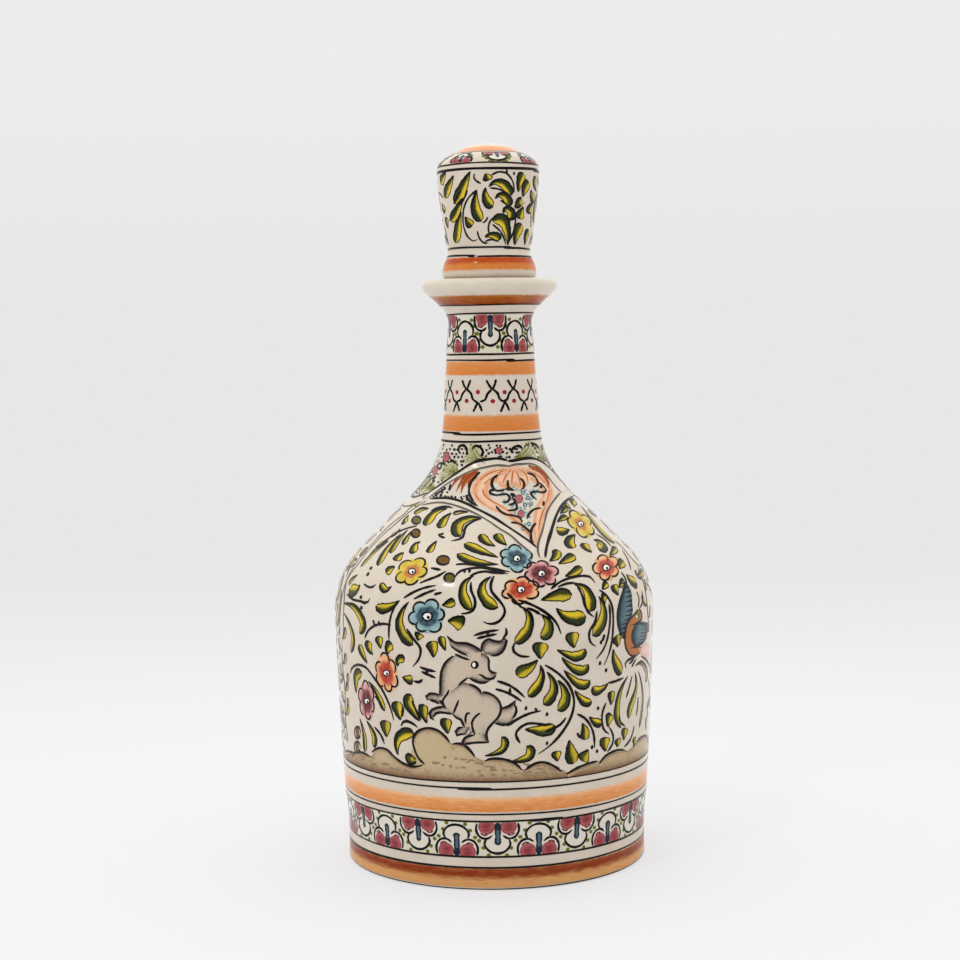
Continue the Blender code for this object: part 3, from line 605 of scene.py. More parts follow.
class CarafeSizes(bpy.types.PropertyGroup):
    """The turned outlines of bottle, stopper and cork."""

    foot_radius: length("Foot radius", "Outer radius of the foot", 0.0588)
    belly_radius: length("Belly radius", "Widest radius of the body", BOTTLE_HIGH.x)
    belly_height: length("Belly height", "Height of the widest place", 0.0982)
    shoulder_height: length("Shoulder height", "Rise of the shoulder", 0.0616)
    neck_base_radius: length("Neck base radius", "Radius where the neck starts", 0.0209)
    neck_height: length("Neck height", "Rise of the neck", 0.0517)
    neck_radius: length("Neck radius", "Slimmest radius of the neck", 0.0164)
    lip_radius: length("Lip radius", "Outer radius of the flat lip", 0.0266)
    bottle_height: length("Bottle height", "Height of the lip's top", BOTTLE_HIGH.z)
    body_wall: length("Body wall", "Thickness of the body's wall", 0.0050)
    neck_wall: length("Neck wall", "Thickness of the neck's wall", 0.0047)
    floor_thickness: length("Floor thickness", "Thickness of the base", 0.0060)
    floor_corner: length("Floor corner", "Radius of the hollow's lower corner", 0.0060)
    foot_edge: length("Foot edge", "Rounding of the foot's outer edge", 0.0015)
    foot_ring: length("Foot ring", "Width of the ring that the bottle stands on", 0.0060)
    foot_recess: length("Foot recess", "Depth of the recess inside the foot ring", 0.0022)
    recess_slope: length("Recess slope", "Run of the recess's sloping side", 0.0015)
    mouth_round: length("Mouth rounding", "Rounding of the mouth's edge", 0.0010)
    head_base: length("Head base", "Height of the stopper's seat", BOTTLE_HIGH.z + 0.0003)
    waist_height: length("Waist height", "Rise of the stopper's waist", 0.0107)
    drum_height: length("Drum height", "Rise of the stopper's drum", 0.0318)
    head_top: length("Head top", "Height of the stopper's crown", HEAD_HIGH.z)
    head_foot_radius: length("Head foot radius", "Radius of the stopper's rounded foot", 0.0185)
    head_waist_radius: length("Head waist radius", "Slimmest radius of the head", 0.0161)
    head_radius: length("Head radius", "Widest radius of the head", HEAD_HIGH.x)
    stopper_wall: length("Stopper wall", "Thickness of the head's wall", 0.0034)
    plug_wall: length("Plug wall", "Thickness of the plug's wall", 0.0028)
    plug_bottom: length("Plug bottom", "Height of the plug's lower end", HEAD_LOW.z)
    collar_length: length("Collar length", "Length of the plug's collar", 0.0030)
    collar_clearance: length("Collar clearance", "Air round the plug's collar", 0.0008)
    bead_length: length("Bead length", "Length of the bead that holds the cork", 0.0028)
    bead_step: length("Bead step", "How far the bead stands out", 0.0008)
    plug_edge: length("Plug edge", "Rounding of the plug's end", 0.0006)
    cork_wall: length("Cork wall", "Thickness of the cork ring", 0.0022)
    cork_taper: length("Cork taper", "How much slimmer the cork's lower end is", 0.0006)
    cork_edge: length("Cork edge", "Rounding of the cork's edges", 0.0005)
    seat_gap: length("Seat gap", "Air between pieces that touch", 0.0003)


class CarafeColours(bpy.types.PropertyGroup):
    """The glaze and the painter's colours."""

    glaze: colour("Glaze", "Warm white tin glaze", "D8CDBE")
    glaze_shade: colour("Glaze shade", "Where the glaze lies thinner", "D2C6B6")
    black: colour("Brush black", "Manganese black of the brush lines", "060403")
    green: colour("Leaf green", "Copper green of the leaves", "1B2808")
    olive: colour("Olive", "Thin green over yellow", "6F7420")
    yellow: colour("Leaf yellow", "Antimony yellow of the leaves", "DDC02C")
    orange: colour("Orange", "Iron orange of the bands", "D4803B")
    apricot: colour("Apricot", "The same orange where it runs thin", "F0AF78")
    amber: colour("Amber", "Stronger orange of the neck's bands", "D27A36")
    tangerine: colour("Tangerine", "The neck's orange where it runs thin", "D99053")
    russet: colour("Russet", "Brown of the band under the lip", "B26B2A")
    ember: colour("Ember", "Burnt edge of the stopper's lower band", "B14406")
    ochre: colour("Ochre", "Thin iron wash at the very foot", "D8A064")
    sienna: colour("Sienna", "Burnt iron of the foot band", "8A3308")
    red: colour("Red", "Deep red of petals and lunettes", "962231")
    teal: colour("Teal", "Dark teal of bars and feathers", "1F4A5C")
    sky: colour("Sky", "Pale blue of petals", "8DB2B8")
    ink: colour("Ink", "Blue-black ring of the blue flowers", "0B262E")
    blush: colour("Blush", "Pink of petals", "DBA09C")
    wine: colour("Wine", "Darkest red of the flowers' rings", "6A0F1C")
    coral: colour("Coral", "Orange-red of petals", "D0562B")
    rose: colour("Rose", "Rose of petals", "BE6A70")
    rust: colour("Rust", "Red-orange heart of flowers", "BE3512")
    salmon: colour("Salmon", "Thin orange of the palmette", "E6BE9F")
    fur: colour("Fur", "Grey-brown wash of the hare", "C8B8A5")
    earth: colour("Earth", "Ochre wash of the mounds", "C2AE8A")
    meadow: colour("Frieze ground", "Pale green ground of the friezes", "D6D2BE")
    cork: colour("Cork", "Natural cork", "B0814F")


class CarafeStudio(bpy.types.PropertyGroup):
    """The floor and the light."""

    paper: colour("Paper", "Floor by the carafe", "F2F2F4")
    paper_lit: colour("Lit paper", "What the paper sends back of the light", "E2E2E4")
    paper_far: colour("Far paper", "Floor and backdrop at the horizon", "E8E7E7")
    paper_high: colour("High paper", "Backdrop above the carafe", "EEECEC")
    surround: bpy.props.FloatProperty(
        name="Surround", description="Strength of the light from all round", default=0.57, min=0.0
    )
    softbox: bpy.props.FloatProperty(
        name="Softbox", description="Power of the small softbox", default=3.2, min=0.0, unit="POWER"
    )


# Outlines


def stretch(shares, inner, outer, low, high):
    """A share table as (radius, height) points: each pair of shares lies between inner and outer, low and high."""
    out, up = np.array(shares).T
    return np.stack([inner + (outer - inner) * out, low + (high - low) * up], 1)


def travel(points):
    """How far along its line each point lies."""
    return np.concatenate([[0.0], np.cumsum(np.linalg.norm(np.diff(points, axis=0), axis=1))])


def curve(points, count):
    """A smooth curve of count points: a cubic on each stretch, whose slopes are the neighbours' mean by length."""
    points = np.reshape(points, (-1, 2)).astype(float)
    if len(points) == 2:
        return points[0] + (points[1] - points[0]) * np.linspace(0.0, 1.0, count)[:, None]
    chord = np.linalg.norm(np.diff(points, axis=0), axis=1)
    place = np.concatenate([[0.0], np.cumsum(chord)])
    secant = np.diff(points, axis=0) / chord[:, None]
    slope = np.empty_like(points)
    weight = (chord[:-1] / (chord[:-1] + chord[1:]))[:, None]
    slope[1:-1] = secant[:-1] * (1.0 - weight) + secant[1:] * weight
    slope[0] = 1.5 * secant[0] - 0.5 * slope[1]
    slope[-1] = 1.5 * secant[-1] - 0.5 * slope[-2]
    at = np.linspace(0.0, place[-1], count)
    index = np.clip(np.searchsorted(place, at, side="right") - 1, 0, len(chord) - 1)
    run = chord[index][:, None]
    t = (at - place[index])[:, None] / run
    return (
        points[index] * (1 + 2 * t) * (1 - t) ** 2
        + slope[index] * run * t * (1 - t) ** 2
        + points[index + 1] * t * t * (3 - 2 * t)
        + slope[index + 1] * run * t * t * (t - 1)
    )


def arc(centre, radius, start, end, count):
    """Points on a circle round centre, from one angle in degrees to another."""
    angle = np.radians(np.linspace(start, end, count))
    return np.stack([centre[0] + radius * np.cos(angle), centre[1] + radius * np.sin(angle)], 1)


def bottle_side(sizes, count):
    """The bottle's outer side as a smooth curve, from the foot's rounded edge to the rim of the lip."""
    belly = sizes.belly_height
    neck_base = belly + sizes.shoulder_height
    lip_base = neck_base + sizes.neck_height
    points = np.concatenate([
        [(sizes.foot_radius, sizes.foot_edge)],
        stretch(BODY_SHARES, sizes.foot_radius, sizes.belly_radius, 0.0, belly),
        stretch(SHOULDER_SHARES, sizes.neck_base_radius, sizes.belly_radius, belly, neck_base),
        stretch(NECK_SHARES, sizes.neck_radius, sizes.neck_base_radius, neck_base, lip_base),
        stretch(LIP_SHARES, sizes.neck_radius, sizes.lip_radius, lip_base, sizes.bottle_height),
    ])
    return curve(points, count)


def head_side(sizes, count):
    """The stopper's head as a smooth curve, from its seat to the middle of the crown."""
    base = sizes.head_base
    drum_base = base + sizes.waist_height
    drum_top = drum_base + sizes.drum_height
    points = np.concatenate([
        stretch(WAIST_SHARES, sizes.head_waist_radius, sizes.head_foot_radius, base, drum_base),
        stretch(DRUM_SHARES, sizes.head_waist_radius, sizes.head_radius, drum_base, drum_top),
        stretch(CROWN_SHARES, 0.0, sizes.head_radius, drum_top, sizes.head_top),
    ])
    return curve(points, count)


def bottle_profile(sizes):
    """The bottle's whole section, from the middle of the hollow's floor over the lip to the foot's middle."""
    side = bottle_side(sizes, 210)
    bore = sizes.neck_radius - sizes.neck_wall
    lip_base = sizes.belly_height + sizes.shoulder_height + sizes.neck_height
    step = np.gradient(side, axis=0)
    step /= np.linalg.norm(step, axis=1, keepdims=True)
    up_share = np.clip((side[:, 1] - sizes.belly_height) / sizes.shoulder_height, 0.0, 1.0)
    wall = sizes.body_wall + (sizes.neck_wall - sizes.body_wall) * up_share
    inner = side + np.stack([-step[:, 1], step[:, 0]], 1) * wall[:, None]
    corner_top = sizes.floor_thickness + sizes.floor_corner
    inner = inner[(inner[:, 1] > corner_top) & (inner[:, 1] < lip_base)][::2]
    inner[:, 0] = np.maximum(inner[:, 0], bore)
    corner_out = sizes.foot_radius - sizes.body_wall - sizes.floor_corner
    ring_out = sizes.foot_radius - sizes.foot_edge
    ring_in = ring_out - sizes.foot_ring
    mouth_top = sizes.bottle_height - sizes.mouth_round
    return np.concatenate([
        [(0.0, sizes.floor_thickness)],
        arc((corner_out, corner_top), sizes.floor_corner, -90, 0, 8),
        inner,
        arc((bore + sizes.mouth_round, mouth_top), sizes.mouth_round, 180, 90, 7),
        side[::-1],
        arc((ring_out, sizes.foot_edge), sizes.foot_edge, 0, -90, 7)[1:],
        [(ring_in, 0.0), (ring_in - sizes.recess_slope, sizes.foot_recess), (0.0, sizes.foot_recess)],
    ])


def plug_radii(sizes):
    """Radii of the plug's collar, of the seat that carries the cork, and of the cork's two faces."""
    bore = sizes.neck_radius - sizes.neck_wall
    cork_out = bore - sizes.seat_gap
    cork_in = cork_out - sizes.cork_wall
    return bore - sizes.collar_clearance, cork_in - sizes.seat_gap, cork_in, cork_out


def stopper_profile(sizes):
    """The stopper's whole section, from the crown down the head and the plug, and up the hollow inside."""
    side = head_side(sizes, 150)[::-1]
    collar, seat, _, _ = plug_radii(sizes)
    bead = seat + sizes.bead_step
    hollow = seat - sizes.plug_wall
    base, bottom = sizes.head_base, sizes.plug_bottom
    bead_top = bottom + sizes.bead_length
    inner_low = base + sizes.stopper_wall
    inner_high = sizes.head_top - sizes.stopper_wall
    room = side[(side[:, 1] > inner_low + sizes.stopper_wall) & (side[:, 1] < inner_high)][::-4]
    room = np.stack([np.maximum(room[:, 0] - sizes.stopper_wall, hollow), room[:, 1]], 1)
    return np.concatenate([
        side,
        [(collar, base), (collar, base - sizes.collar_length), (seat, base - sizes.collar_length)],
        [(seat, bead_top), (bead, bead_top)],
        arc((bead - sizes.plug_edge, bottom + sizes.plug_edge), sizes.plug_edge, 0, -90, 5),
        [(hollow, bottom), (hollow, inner_low)],
        room,
        [(0.0, inner_high)],
    ])


def cork_profile(sizes):
    """The cork ring's section: a plain bore, and a side that tapers a little towards its lower end."""
    _, _, inner, outer = plug_radii(sizes)
    top = sizes.head_base - sizes.collar_length - sizes.seat_gap
    bottom = sizes.plug_bottom + sizes.bead_length + sizes.seat_gap
    edge = sizes.cork_edge
    return np.concatenate([
        [(inner, top)],
        arc((outer - edge, top - edge), edge, 90, 0, 6),
        arc((outer - sizes.cork_taper - edge, bottom + edge), edge, 0, -90, 6),
        [(inner, bottom)],
    ])


class Outline:
    """The outer side of a turned piece, on which colour is laid by turn round the axis and rise along the side."""

    def __init__(self, side):
        """Takes a side as rows of radius and height, and adds its rise and the way it faces."""
        self.radius, self.height = side.T
        self.rise = travel(side)
        slope = np.gradient(side, axis=0)
        slope /= np.linalg.norm(slope, axis=1, keepdims=True)
        self.out, self.up = slope[:, 1], -slope[:, 0]

    def point(self, turn, rise, lift):
        """The point lift above the surface, and the way the surface faces there; turn 0 faces the camera."""
        sides = (self.radius, self.height, self.out, self.up)
        radius, height, out, up = (np.interp(rise, self.rise, values) for values in sides)
        reach = radius + lift * out
        sine, cosine = np.sin(turn), np.cos(turn)
        place = np.stack([reach * sine, -reach * cosine, height + lift * up], -1)
        return place, np.stack([out * sine, -out * cosine, up], -1)

    def rise_at(self, height):
        """The rise at which the side has a height."""
        return np.interp(height, self.height, self.rise)

    def seen(self, pixels):
        """Turn and rise of the first surface point on the camera's sight line through each picture point.

        The line is halved again and again between its nearest point to the axis, which is inside the piece,
        and a place in front of it. A line that misses is first moved towards the middle of the picture.
        """
        pixels = np.array(pixels, float)
        forward, up = np.array(CAMERA_FORWARD), np.array(CAMERA_UP)
        right = np.cross(forward, up)
        eye = np.array(CAMERA_PLACE)
        middle = PICTURE_SIDE / 2

        def inside(along, line):
            """How far outside the surface a line is at a distance from the camera; negative inside it."""
            place = eye + line * along[..., None]
            return np.hypot(place[..., 0], place[..., 1]) - np.interp(place[..., 2], self.height, self.radius)

        for _ in range(NUDGES):
            offset = (pixels - middle) / FOCAL_PIXELS
            line = forward + right * offset[..., :1] - up * offset[..., 1:]
            nearest = -(eye[:2] * line[..., :2]).sum(-1) / (line[..., :2] ** 2).sum(-1)
            missed = inside(nearest, line) > -GRAZE
            if not missed.any():
                break
            pixels[..., 0] += np.where(missed, np.sign(AXIS_COLUMN - pixels[..., 0]) * NUDGE, 0.0)
        far, near = nearest, nearest - self.radius.max() * 1.2
        for _ in range(HALVINGS):
            half = (far + near) / 2
            outside = inside(half, line) > 0.0
            near, far = np.where(outside, half, near), np.where(outside, far, half)
        place = eye + line * far[..., None]
        turn = np.arctan2(place[..., 0], -place[..., 1])
        return turn, self.rise_at(place[..., 2])


def outlines():
    """The painted outlines of bottle and stopper, at the sizes that the user has set."""
    sizes = bpy.context.scene.carafe_sizes
    foot = arc((sizes.foot_radius - sizes.foot_edge, sizes.foot_edge), sizes.foot_edge, -80, -5, 8)
    return Outline(np.vstack([foot, bottle_side(sizes, 420)])), Outline(head_side(sizes, 300))


# Surfaces


def lay_attribute(mesh, name, kind, domain, values):
    """Stores one value for every vertex or face corner under a name that the materials read."""
    layer = mesh.attributes.new(name, kind, domain)
    field = {"FLOAT": "value", "FLOAT_VECTOR": "vector", "FLOAT_COLOR": "color", "FLOAT2": "vector"}[kind]
    layer.data.foreach_set(field, np.ascontiguousarray(values, np.float32).ravel())


def make_piece(name, points, faces, corner_uv, material, body):
    """Puts a surface's points, faces and unrolled places into a new object that moves with a body."""
    mesh = bpy.data.meshes.new(name)
    mesh.from_pydata(points.tolist(), [], faces)
    lay_attribute(mesh, "OFBake", "FLOAT2", "CORNER", corner_uv)
    mesh.shade_smooth()
    mesh.materials.append(material)
    piece = bpy.data.objects.new(name, mesh)
    bpy.context.scene.collection.objects.link(piece)
    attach(piece, body)
    return piece


def lathe(name, profile, steps, material, body):
    """Turns a section about the axis: each point goes to (r sin a, -r cos a, z), and a point on the axis stays one.

    The unrolled place of a corner is its share of the turn and its share of the section's length.
    """
    closed = profile[0, 0] > ON_AXIS
    ring = profile if closed else profile[1:-1]
    count = len(ring)
    turn = np.linspace(0.0, math.tau, steps, endpoint=False)
    radius, height = ring[:, 0, None], ring[:, 1, None]
    points = np.stack([radius * np.sin(turn), -radius * np.cos(turn), height + 0.0 * turn], -1).reshape(-1, 3)
    loop = np.vstack([profile, profile[:1]]) if closed else profile
    share = travel(loop)
    share /= share[-1]
    rows = count if closed else count - 1
    row, step = np.meshgrid(np.arange(rows), np.arange(steps), indexing="ij")
    below, after = (row + 1) % count, (step + 1) % steps
    quads = np.stack([row * steps + step, below * steps + step, below * steps + after, row * steps + after], -1)
    lift = share if closed else share[1:]
    u, v = step / steps, lift[row]
    corners = np.stack([
        np.stack([u, v], -1), np.stack([u, lift[row + 1]], -1),
        np.stack([u + 1.0 / steps, lift[row + 1]], -1), np.stack([u + 1.0 / steps, v], -1),
    ], -2).reshape(-1, 2)
    faces = quads.reshape(-1, 4).tolist()
    if not closed:
        first, last = len(points), len(points) + 1
        points = np.vstack([points, [(0.0, 0.0, profile[0, 1]), (0.0, 0.0, profile[-1, 1])]])
        here = np.arange(steps)
        after = (here + 1) % steps
        end = (count - 1) * steps
        faces += np.stack(np.broadcast_arrays(first, here, after), 1).tolist()
        faces += np.stack(np.broadcast_arrays(end + here, last, end + after), 1).tolist()
        left, right = here / steps, (here + 1) / steps
        middle = (left + right) / 2
        low, high = share[1], share[-2]
        caps = ((middle, 0.0), (left, low), (right, low), (left, high), (middle, 1.0), (right, high))
        fans = np.stack([np.stack(np.broadcast_arrays(*cap), -1) for cap in caps], 1)
        corners = np.vstack([corners, fans[:, :3].reshape(-1, 2), fans[:, 3:].reshape(-1, 2)])
    return make_piece(name, points, faces, corners, material, body)


# Painting


class Painting:
    """Sheets of colour for one piece: each is a grid of (turn, rise) points on the outline, with its own colours."""

    def __init__(self, outline, seed):
        """Starts with no sheets, and with chance that the seed fixes."""
        self.outline = outline
        self.chance = np.random.default_rng(seed)
        self.sheets = []

    def radius(self, rise):
        """The radius of the surface where the side has a rise."""
        return np.interp(rise, self.outline.rise, self.outline.radius)

    def seen(self, pixels, about=None):
        """The (turn, rise) points that the camera sees at picture points.

        Towards the sides, where the surface turns away, a small shape about a picture point is kept from being
        laid out more than half as broad again as it looks.
        """
        laid = np.stack(self.outline.seen(pixels), -1)
        if about is None:
            return laid
        middle, left, right = np.stack(self.outline.seen(np.add(about, ((0, 0), (-1, 0), (1, 0)))), -1)
        wide = (right[0] - left[0]) * self.radius(middle[1])
        share = min(1.0, 3.0 * PICTURE_MM * MM / max(wide, ON_AXIS))
        laid[..., 0] = middle[0] + (laid[..., 0] - middle[0]) * share
        return laid

    def placed(self, turn, rise, across):
        """Points given in metres to the right of and above a place on the surface, as (turn, rise) points."""
        across = np.asarray(across, float)
        return np.stack([turn + across[..., 0] / self.radius(rise), rise + across[..., 1]], -1)

    def sheet(self, grid, lift, deep, pale, body=0.0, edge=NO_EDGE, cover=1.0):
        """Keeps a grid with its colours.

        Body runs from the deep colour at 0 to the pale one at 1, edge below 1 is outlined in black, and where
        cover falls to 0 the glaze shows.
        """
        shape = grid.shape[:2]
        shade = np.stack([np.broadcast_to(value, shape) for value in (edge, cover, body)], -1)
        stray = self.chance.uniform(-0.004, 0.004)
        colours = np.stack([np.broadcast_to(tone, (*shape, 3)) for tone in (deep, pale)], -2)
        self.sheets.append((grid, (lift + stray) * MM, shade, colours))

    def ribbon(self, spine, half, columns=3):
        """Carries a width along a spine: its side steps are square to the spine on the unrolled surface."""
        metric = np.stack([self.radius(spine[:, 1]), np.ones(len(spine))], 1)
        run = np.gradient(spine, axis=0) * metric
        run /= np.linalg.norm(run, axis=1, keepdims=True)
        side = np.stack([run[:, 1], -run[:, 0]], 1) * np.reshape(half, (-1, 1)) / metric
        return spine[:, None] + side[:, None] * np.linspace(-1.0, 1.0, columns)[None, :, None]

    def sway(self, count, size):
        """A slow random sway round 1: three sines of random phase."""
        t = np.linspace(0.0, 1.0, count)
        phase = self.chance.uniform(0.0, math.tau, 3)
        waves = np.sin(t * math.tau * np.array([[1.0], [2.3], [4.1]]) + phase[:, None])
        return 1.0 + size * waves.sum(0) / 2.0

    def stroke(self, spine, width, pigment, lift=0.08, strength=1.0, taper=0.3):
        """A brush line: pressed down quickly, lifted slowly, a little uneven, its end running dry."""
        count = len(spine)
        t = np.linspace(0.0, 1.0, count)
        press = np.minimum(1.0, 0.55 + t / 0.10) * np.minimum(1.0, 0.35 + (1.0 - t) / taper)
        half = np.maximum(0.5 * FIRMNESS * width * press * self.sway(count, 0.16), 0.06) * MM
        cover = np.minimum(1.0, 0.62 + (1.0 - t) / 0.2)[:, None] * strength
        self.sheet(self.ribbon(spine, half), lift, pigment, pigment, cover=cover)

    def shading(self, pixels, width, deep, pale, shift=(0.0, 0.0)):
        """A broad soft stroke, deep along its middle and as pale as the wash under it at both sides."""
        pixels = np.reshape(pixels, (-1, 2)) + shift
        count = int(np.clip(travel(pixels)[-1] / 3.0, 5, 50)) + 1
        t = np.linspace(0.0, 1.0, count)
        half = 0.5 * width * MM * (0.35 + 0.65 * np.sin(math.pi * np.clip(t, 0.03, 0.97)) ** 0.5)
        body = np.abs(np.linspace(-1.0, 1.0, 7))[None, :] ** 1.5 + 0.5 * (np.abs(2.0 * t - 1.0) ** 4)[:, None]
        self.sheet(self.ribbon(self.seen(curve(pixels, count)), half, 7), 0.05, deep, pale, body=body)

    def drawn(self, pixels, width, pigment, step=4.0, about=None, **finish):
        """A brush line through picture points, a point on it for each step of the picture."""
        reach = travel(np.reshape(pixels, (-1, 2)))[-1]
        count = int(np.clip(reach / step, 4, 60)) + 1
        self.stroke(self.seen(curve(pixels, count), about), width, pigment, **finish)

    def lines(self, table, width, pigment, **finish):
        """Brush lines through the rows of a table of picture points."""
        for pixels in table:
            self.drawn(pixels, width, pigment, **finish)

    def leaf(self, pixels, breadth, deep, pale, **finish):
        """A leaf through picture points, as broad on the surface as it looks in the picture.

        Towards the sides, where the surface turns away, a leaf gets at most half as broad again.
        """
        line = curve(pixels, 15)
        run = line[10] - line[8]
        side = np.array((run[1], -run[0])) * 0.5 * breadth / np.linalg.norm(run)
        ends = self.seen([line[9] - side, line[9] + side])
        wide = np.hypot(*((ends[1] - ends[0]) * (self.radius(ends[0, 1]), 1.0)))
        self.blade(self.seen(line), min(wide, 1.5 * breadth * PICTURE_MM * MM), deep, pale, **finish)

    def blade(self, spine, breadth, deep, pale, lift=0.055, rim=0.6, share=0.0, columns=11):
        """A comma of a leaf from its thin tail to its round head: half breadth = t^0.8 (1 - t^5)^0.6.

        The dark brush lies along one side and thinly along the other, with a bright one between, and a firm line
        follows the dark side. That is the outer bend, or the left side of a leaf that is nearly straight.
        """
        rows = len(spine)
        t = np.linspace(0.0, 1.0, rows)
        half = 0.5 * breadth * LEAF_SWELL * np.clip(t, 0.01, 1.0) ** 0.8 * (1.001 - t ** 5) ** 0.6
        grid = self.ribbon(spine, half * (1.0 + 0.05 * self.chance.standard_normal(rows)), columns)
        across = np.linspace(-1.0, 1.0, columns)
        flat = spine * (self.radius(spine[:, 1]).mean(), 1.0)
        chord = flat[-1] - flat[0]
        long = np.linalg.norm(chord)
        bend = np.cross(chord, flat[rows // 2] - (flat[0] + flat[-1]) / 2) / long ** 2
        toward = across if bend + LEAF_LEANING * chord[1] / long > LEAF_LEFT else -across
        body = np.interp(toward + share, *LEAF_BRUSHES)[None, :] - 0.25 * (np.abs(t - 0.55) / 0.45)[:, None] ** 2
        reach = (1.0 - np.abs(across))[None, :] * half[:, None]
        ends = (1.0 - t)[:, None] * long
        edge = np.minimum(reach, ends) / (rim * MM * (1.0 - 0.25 * toward)[None, :]) if rim else NO_EDGE
        self.sheet(grid, lift, deep, pale, body=body, edge=edge)
        if rim:
            outer = grid[:, 0 if toward[0] < 0.0 else -1] * 0.92 + spine * 0.08
            self.stroke(outer, 0.84 * rim, tint("black"), lift=lift + 0.02, taper=0.15)

    def disc(self, place, size, tilt, side, lobes=0, ragged=0.0):
        """A lobed disc as a grid: a square pressed into a circle, its radius swelling with each lobe."""
        s = np.linspace(-1.0, 1.0, side)
        u, v = np.meshgrid(s, s, indexing="ij")
        x, y = u * np.sqrt(1.0 - v * v / 2.0), v * np.sqrt(1.0 - u * u / 2.0)
        angle = np.arctan2(y, x)
        phase = self.chance.uniform(0.0, math.tau, 3)
        scallop = np.abs(np.sin(lobes * angle / 2.0 + phase[0])) ** 0.6 - 0.8
        swell = 1.0 + 0.1 * scallop * (lobes > 0)
        swell = swell + ragged * (np.sin(3 * angle + phase[1]) + np.sin(7 * angle + phase[2]))
        reach = np.hypot(x, y)
        turn = math.radians(tilt)
        x, y = x * swell * size[0], y * swell * size[1]
        grid = np.stack([
            place[0] + x * math.cos(turn) - y * math.sin(turn),
            place[1] + x * math.sin(turn) + y * math.cos(turn),
        ], -1)
        return grid, reach

    def blot(self, place, size, deep, pale, tilt=0.0, side=9, lift=0.06, rim=0.0, **shape):
        """A blot at a picture point, a little paler towards its rim."""
        grid, reach = self.disc(place, size, tilt, side, **shape)
        edge = (1.0 - reach) * min(size) * PICTURE_MM / rim if rim else NO_EDGE
        self.sheet(self.seen(grid, place), lift, deep, pale, body=0.5 + 0.3 * reach, edge=edge)

    def spot(self, turn, rise, place, size, deep, pale, tilt=0.0, side=7, lift=0.06, rim=0.0, **shape):
        """A blot at a place on the unrolled surface, its size and place in millimetres."""
        grid, reach = self.disc(place, size, tilt, side, **shape)
        edge = (1.0 - reach) * min(size) / rim if rim else NO_EDGE
        self.sheet(self.placed(turn, rise, grid * MM), lift, deep, pale, body=0.4 + 0.3 * reach, edge=edge)

    def line(self, turn, rise, points, width, pigment, count=12, **finish):
        """A brush line through points in millimetres round a place on the unrolled surface."""
        self.stroke(self.placed(turn, rise, curve(points, count) * MM), width, pigment, **finish)

    def wash(self, upper, lower, deep, pale, lift=0.03, rows=9, columns=17, body=0.5, rim=0.0, sides=(1.0, 1.0)):
        """A wash between two curves of picture points, darker along both of them as its rims say."""
        upper, lower = curve(upper, columns), curve(lower, columns)
        t = 0.5 - 0.5 * np.cos(math.pi * np.linspace(0.0, 1.0, rows))[:, None]
        grid = upper[None] * (1.0 - t[..., None]) + (lower[None] + (0.0, END_GAP)) * t[..., None]
        breadth = np.linalg.norm(upper - lower, axis=1)[None, :] / RIM_REACH
        dark = np.maximum(sides[0] * np.exp(-t * breadth), sides[1] * np.exp((t - 1.0) * breadth))
        self.sheet(self.seen(grid), lift, deep, pale, body=body - rim * dark)

    def sprinkle(self, area, gap, size, pigment):
        """Small dots scattered in an area of the picture: a jittered grid, kept where it is inside the area."""
        area = np.reshape(area, (-1, 2)).astype(float)
        x, y = np.meshgrid(*(np.arange(low, high, gap) for low, high in zip(area.min(0), area.max(0))))
        x = (x + (np.arange(len(y)) % 2)[:, None] * gap / 2).ravel()
        spots = np.stack([x, y.ravel()], 1) + self.chance.uniform(-0.3, 0.3, (x.size, 2)) * gap
        after = np.roll(area, -1, 0)
        px, py = spots[:, :1], spots[:, 1:]
        rise = np.where(after[:, 1] == area[:, 1], 1.0, after[:, 1] - area[:, 1])
        cross = area[:, 0] + (py - area[:, 1]) * (after[:, 0] - area[:, 0]) / rise
        crossed = ((area[:, 1] > py) != (after[:, 1] > py)) & (px < cross)
        for place in spots[crossed.sum(1) % 2 == 1]:
            half = size * self.chance.uniform(0.75, 1.25, 2)
            self.blot(place, half, pigment, pigment, tilt=self.chance.uniform(0.0, 90.0), side=4, lift=0.07)

    def hatch(self, pixels, count, way, width, pigment):
        """Short fine brush hairs from a line of picture points, all laid roughly one way."""
        for root in curve(pixels, count):
            tip = root + np.array(way) * self.chance.uniform(0.5, 1.2) + self.chance.uniform(-1.0, 1.0, 2)
            bend = (root + tip) / 2 + self.chance.uniform(-0.8, 0.8, 2)
            self.drawn((*root, *bend, *tip), width, pigment, step=2.5, lift=0.066, taper=0.6, strength=0.85)

    def fan(self, at, unit, root, aim, spread, reach, breadth, count):
        """A leafy fan from one root: pale blades turned from one side of the aim to the other, with green hairs."""
        for turn in np.radians(aim + np.linspace(-spread, spread, count)):
            way = np.array((math.cos(turn), math.sin(turn)))
            side = np.array((-way[1], way[0])) * (turn - math.radians(aim)) * 0.25
            long = reach * self.chance.uniform(0.88, 1.08)
            spine = curve([root, root + (way * 0.5 - side) * long, root + way * long], 9)
            pale = mixed(mixed(tint("meadow"), tint("olive"), 0.22), tint("yellow"), 0.14)
            deep = mixed(pale, tint("olive"), 0.3)
            self.blade(at(spine), breadth * unit * MM, deep, pale, lift=0.078, rim=0.0, share=0.2, columns=5)
            for shift in (-0.3, 0.35):
                hair = spine[1:-1] + np.array((-way[1], way[0])) * shift * breadth * self.chance.uniform(0.4, 1.0)
                self.stroke(at(hair), 0.2, mixed(tint("olive"), tint("black"), 0.15), lift=0.09, taper=0.6)

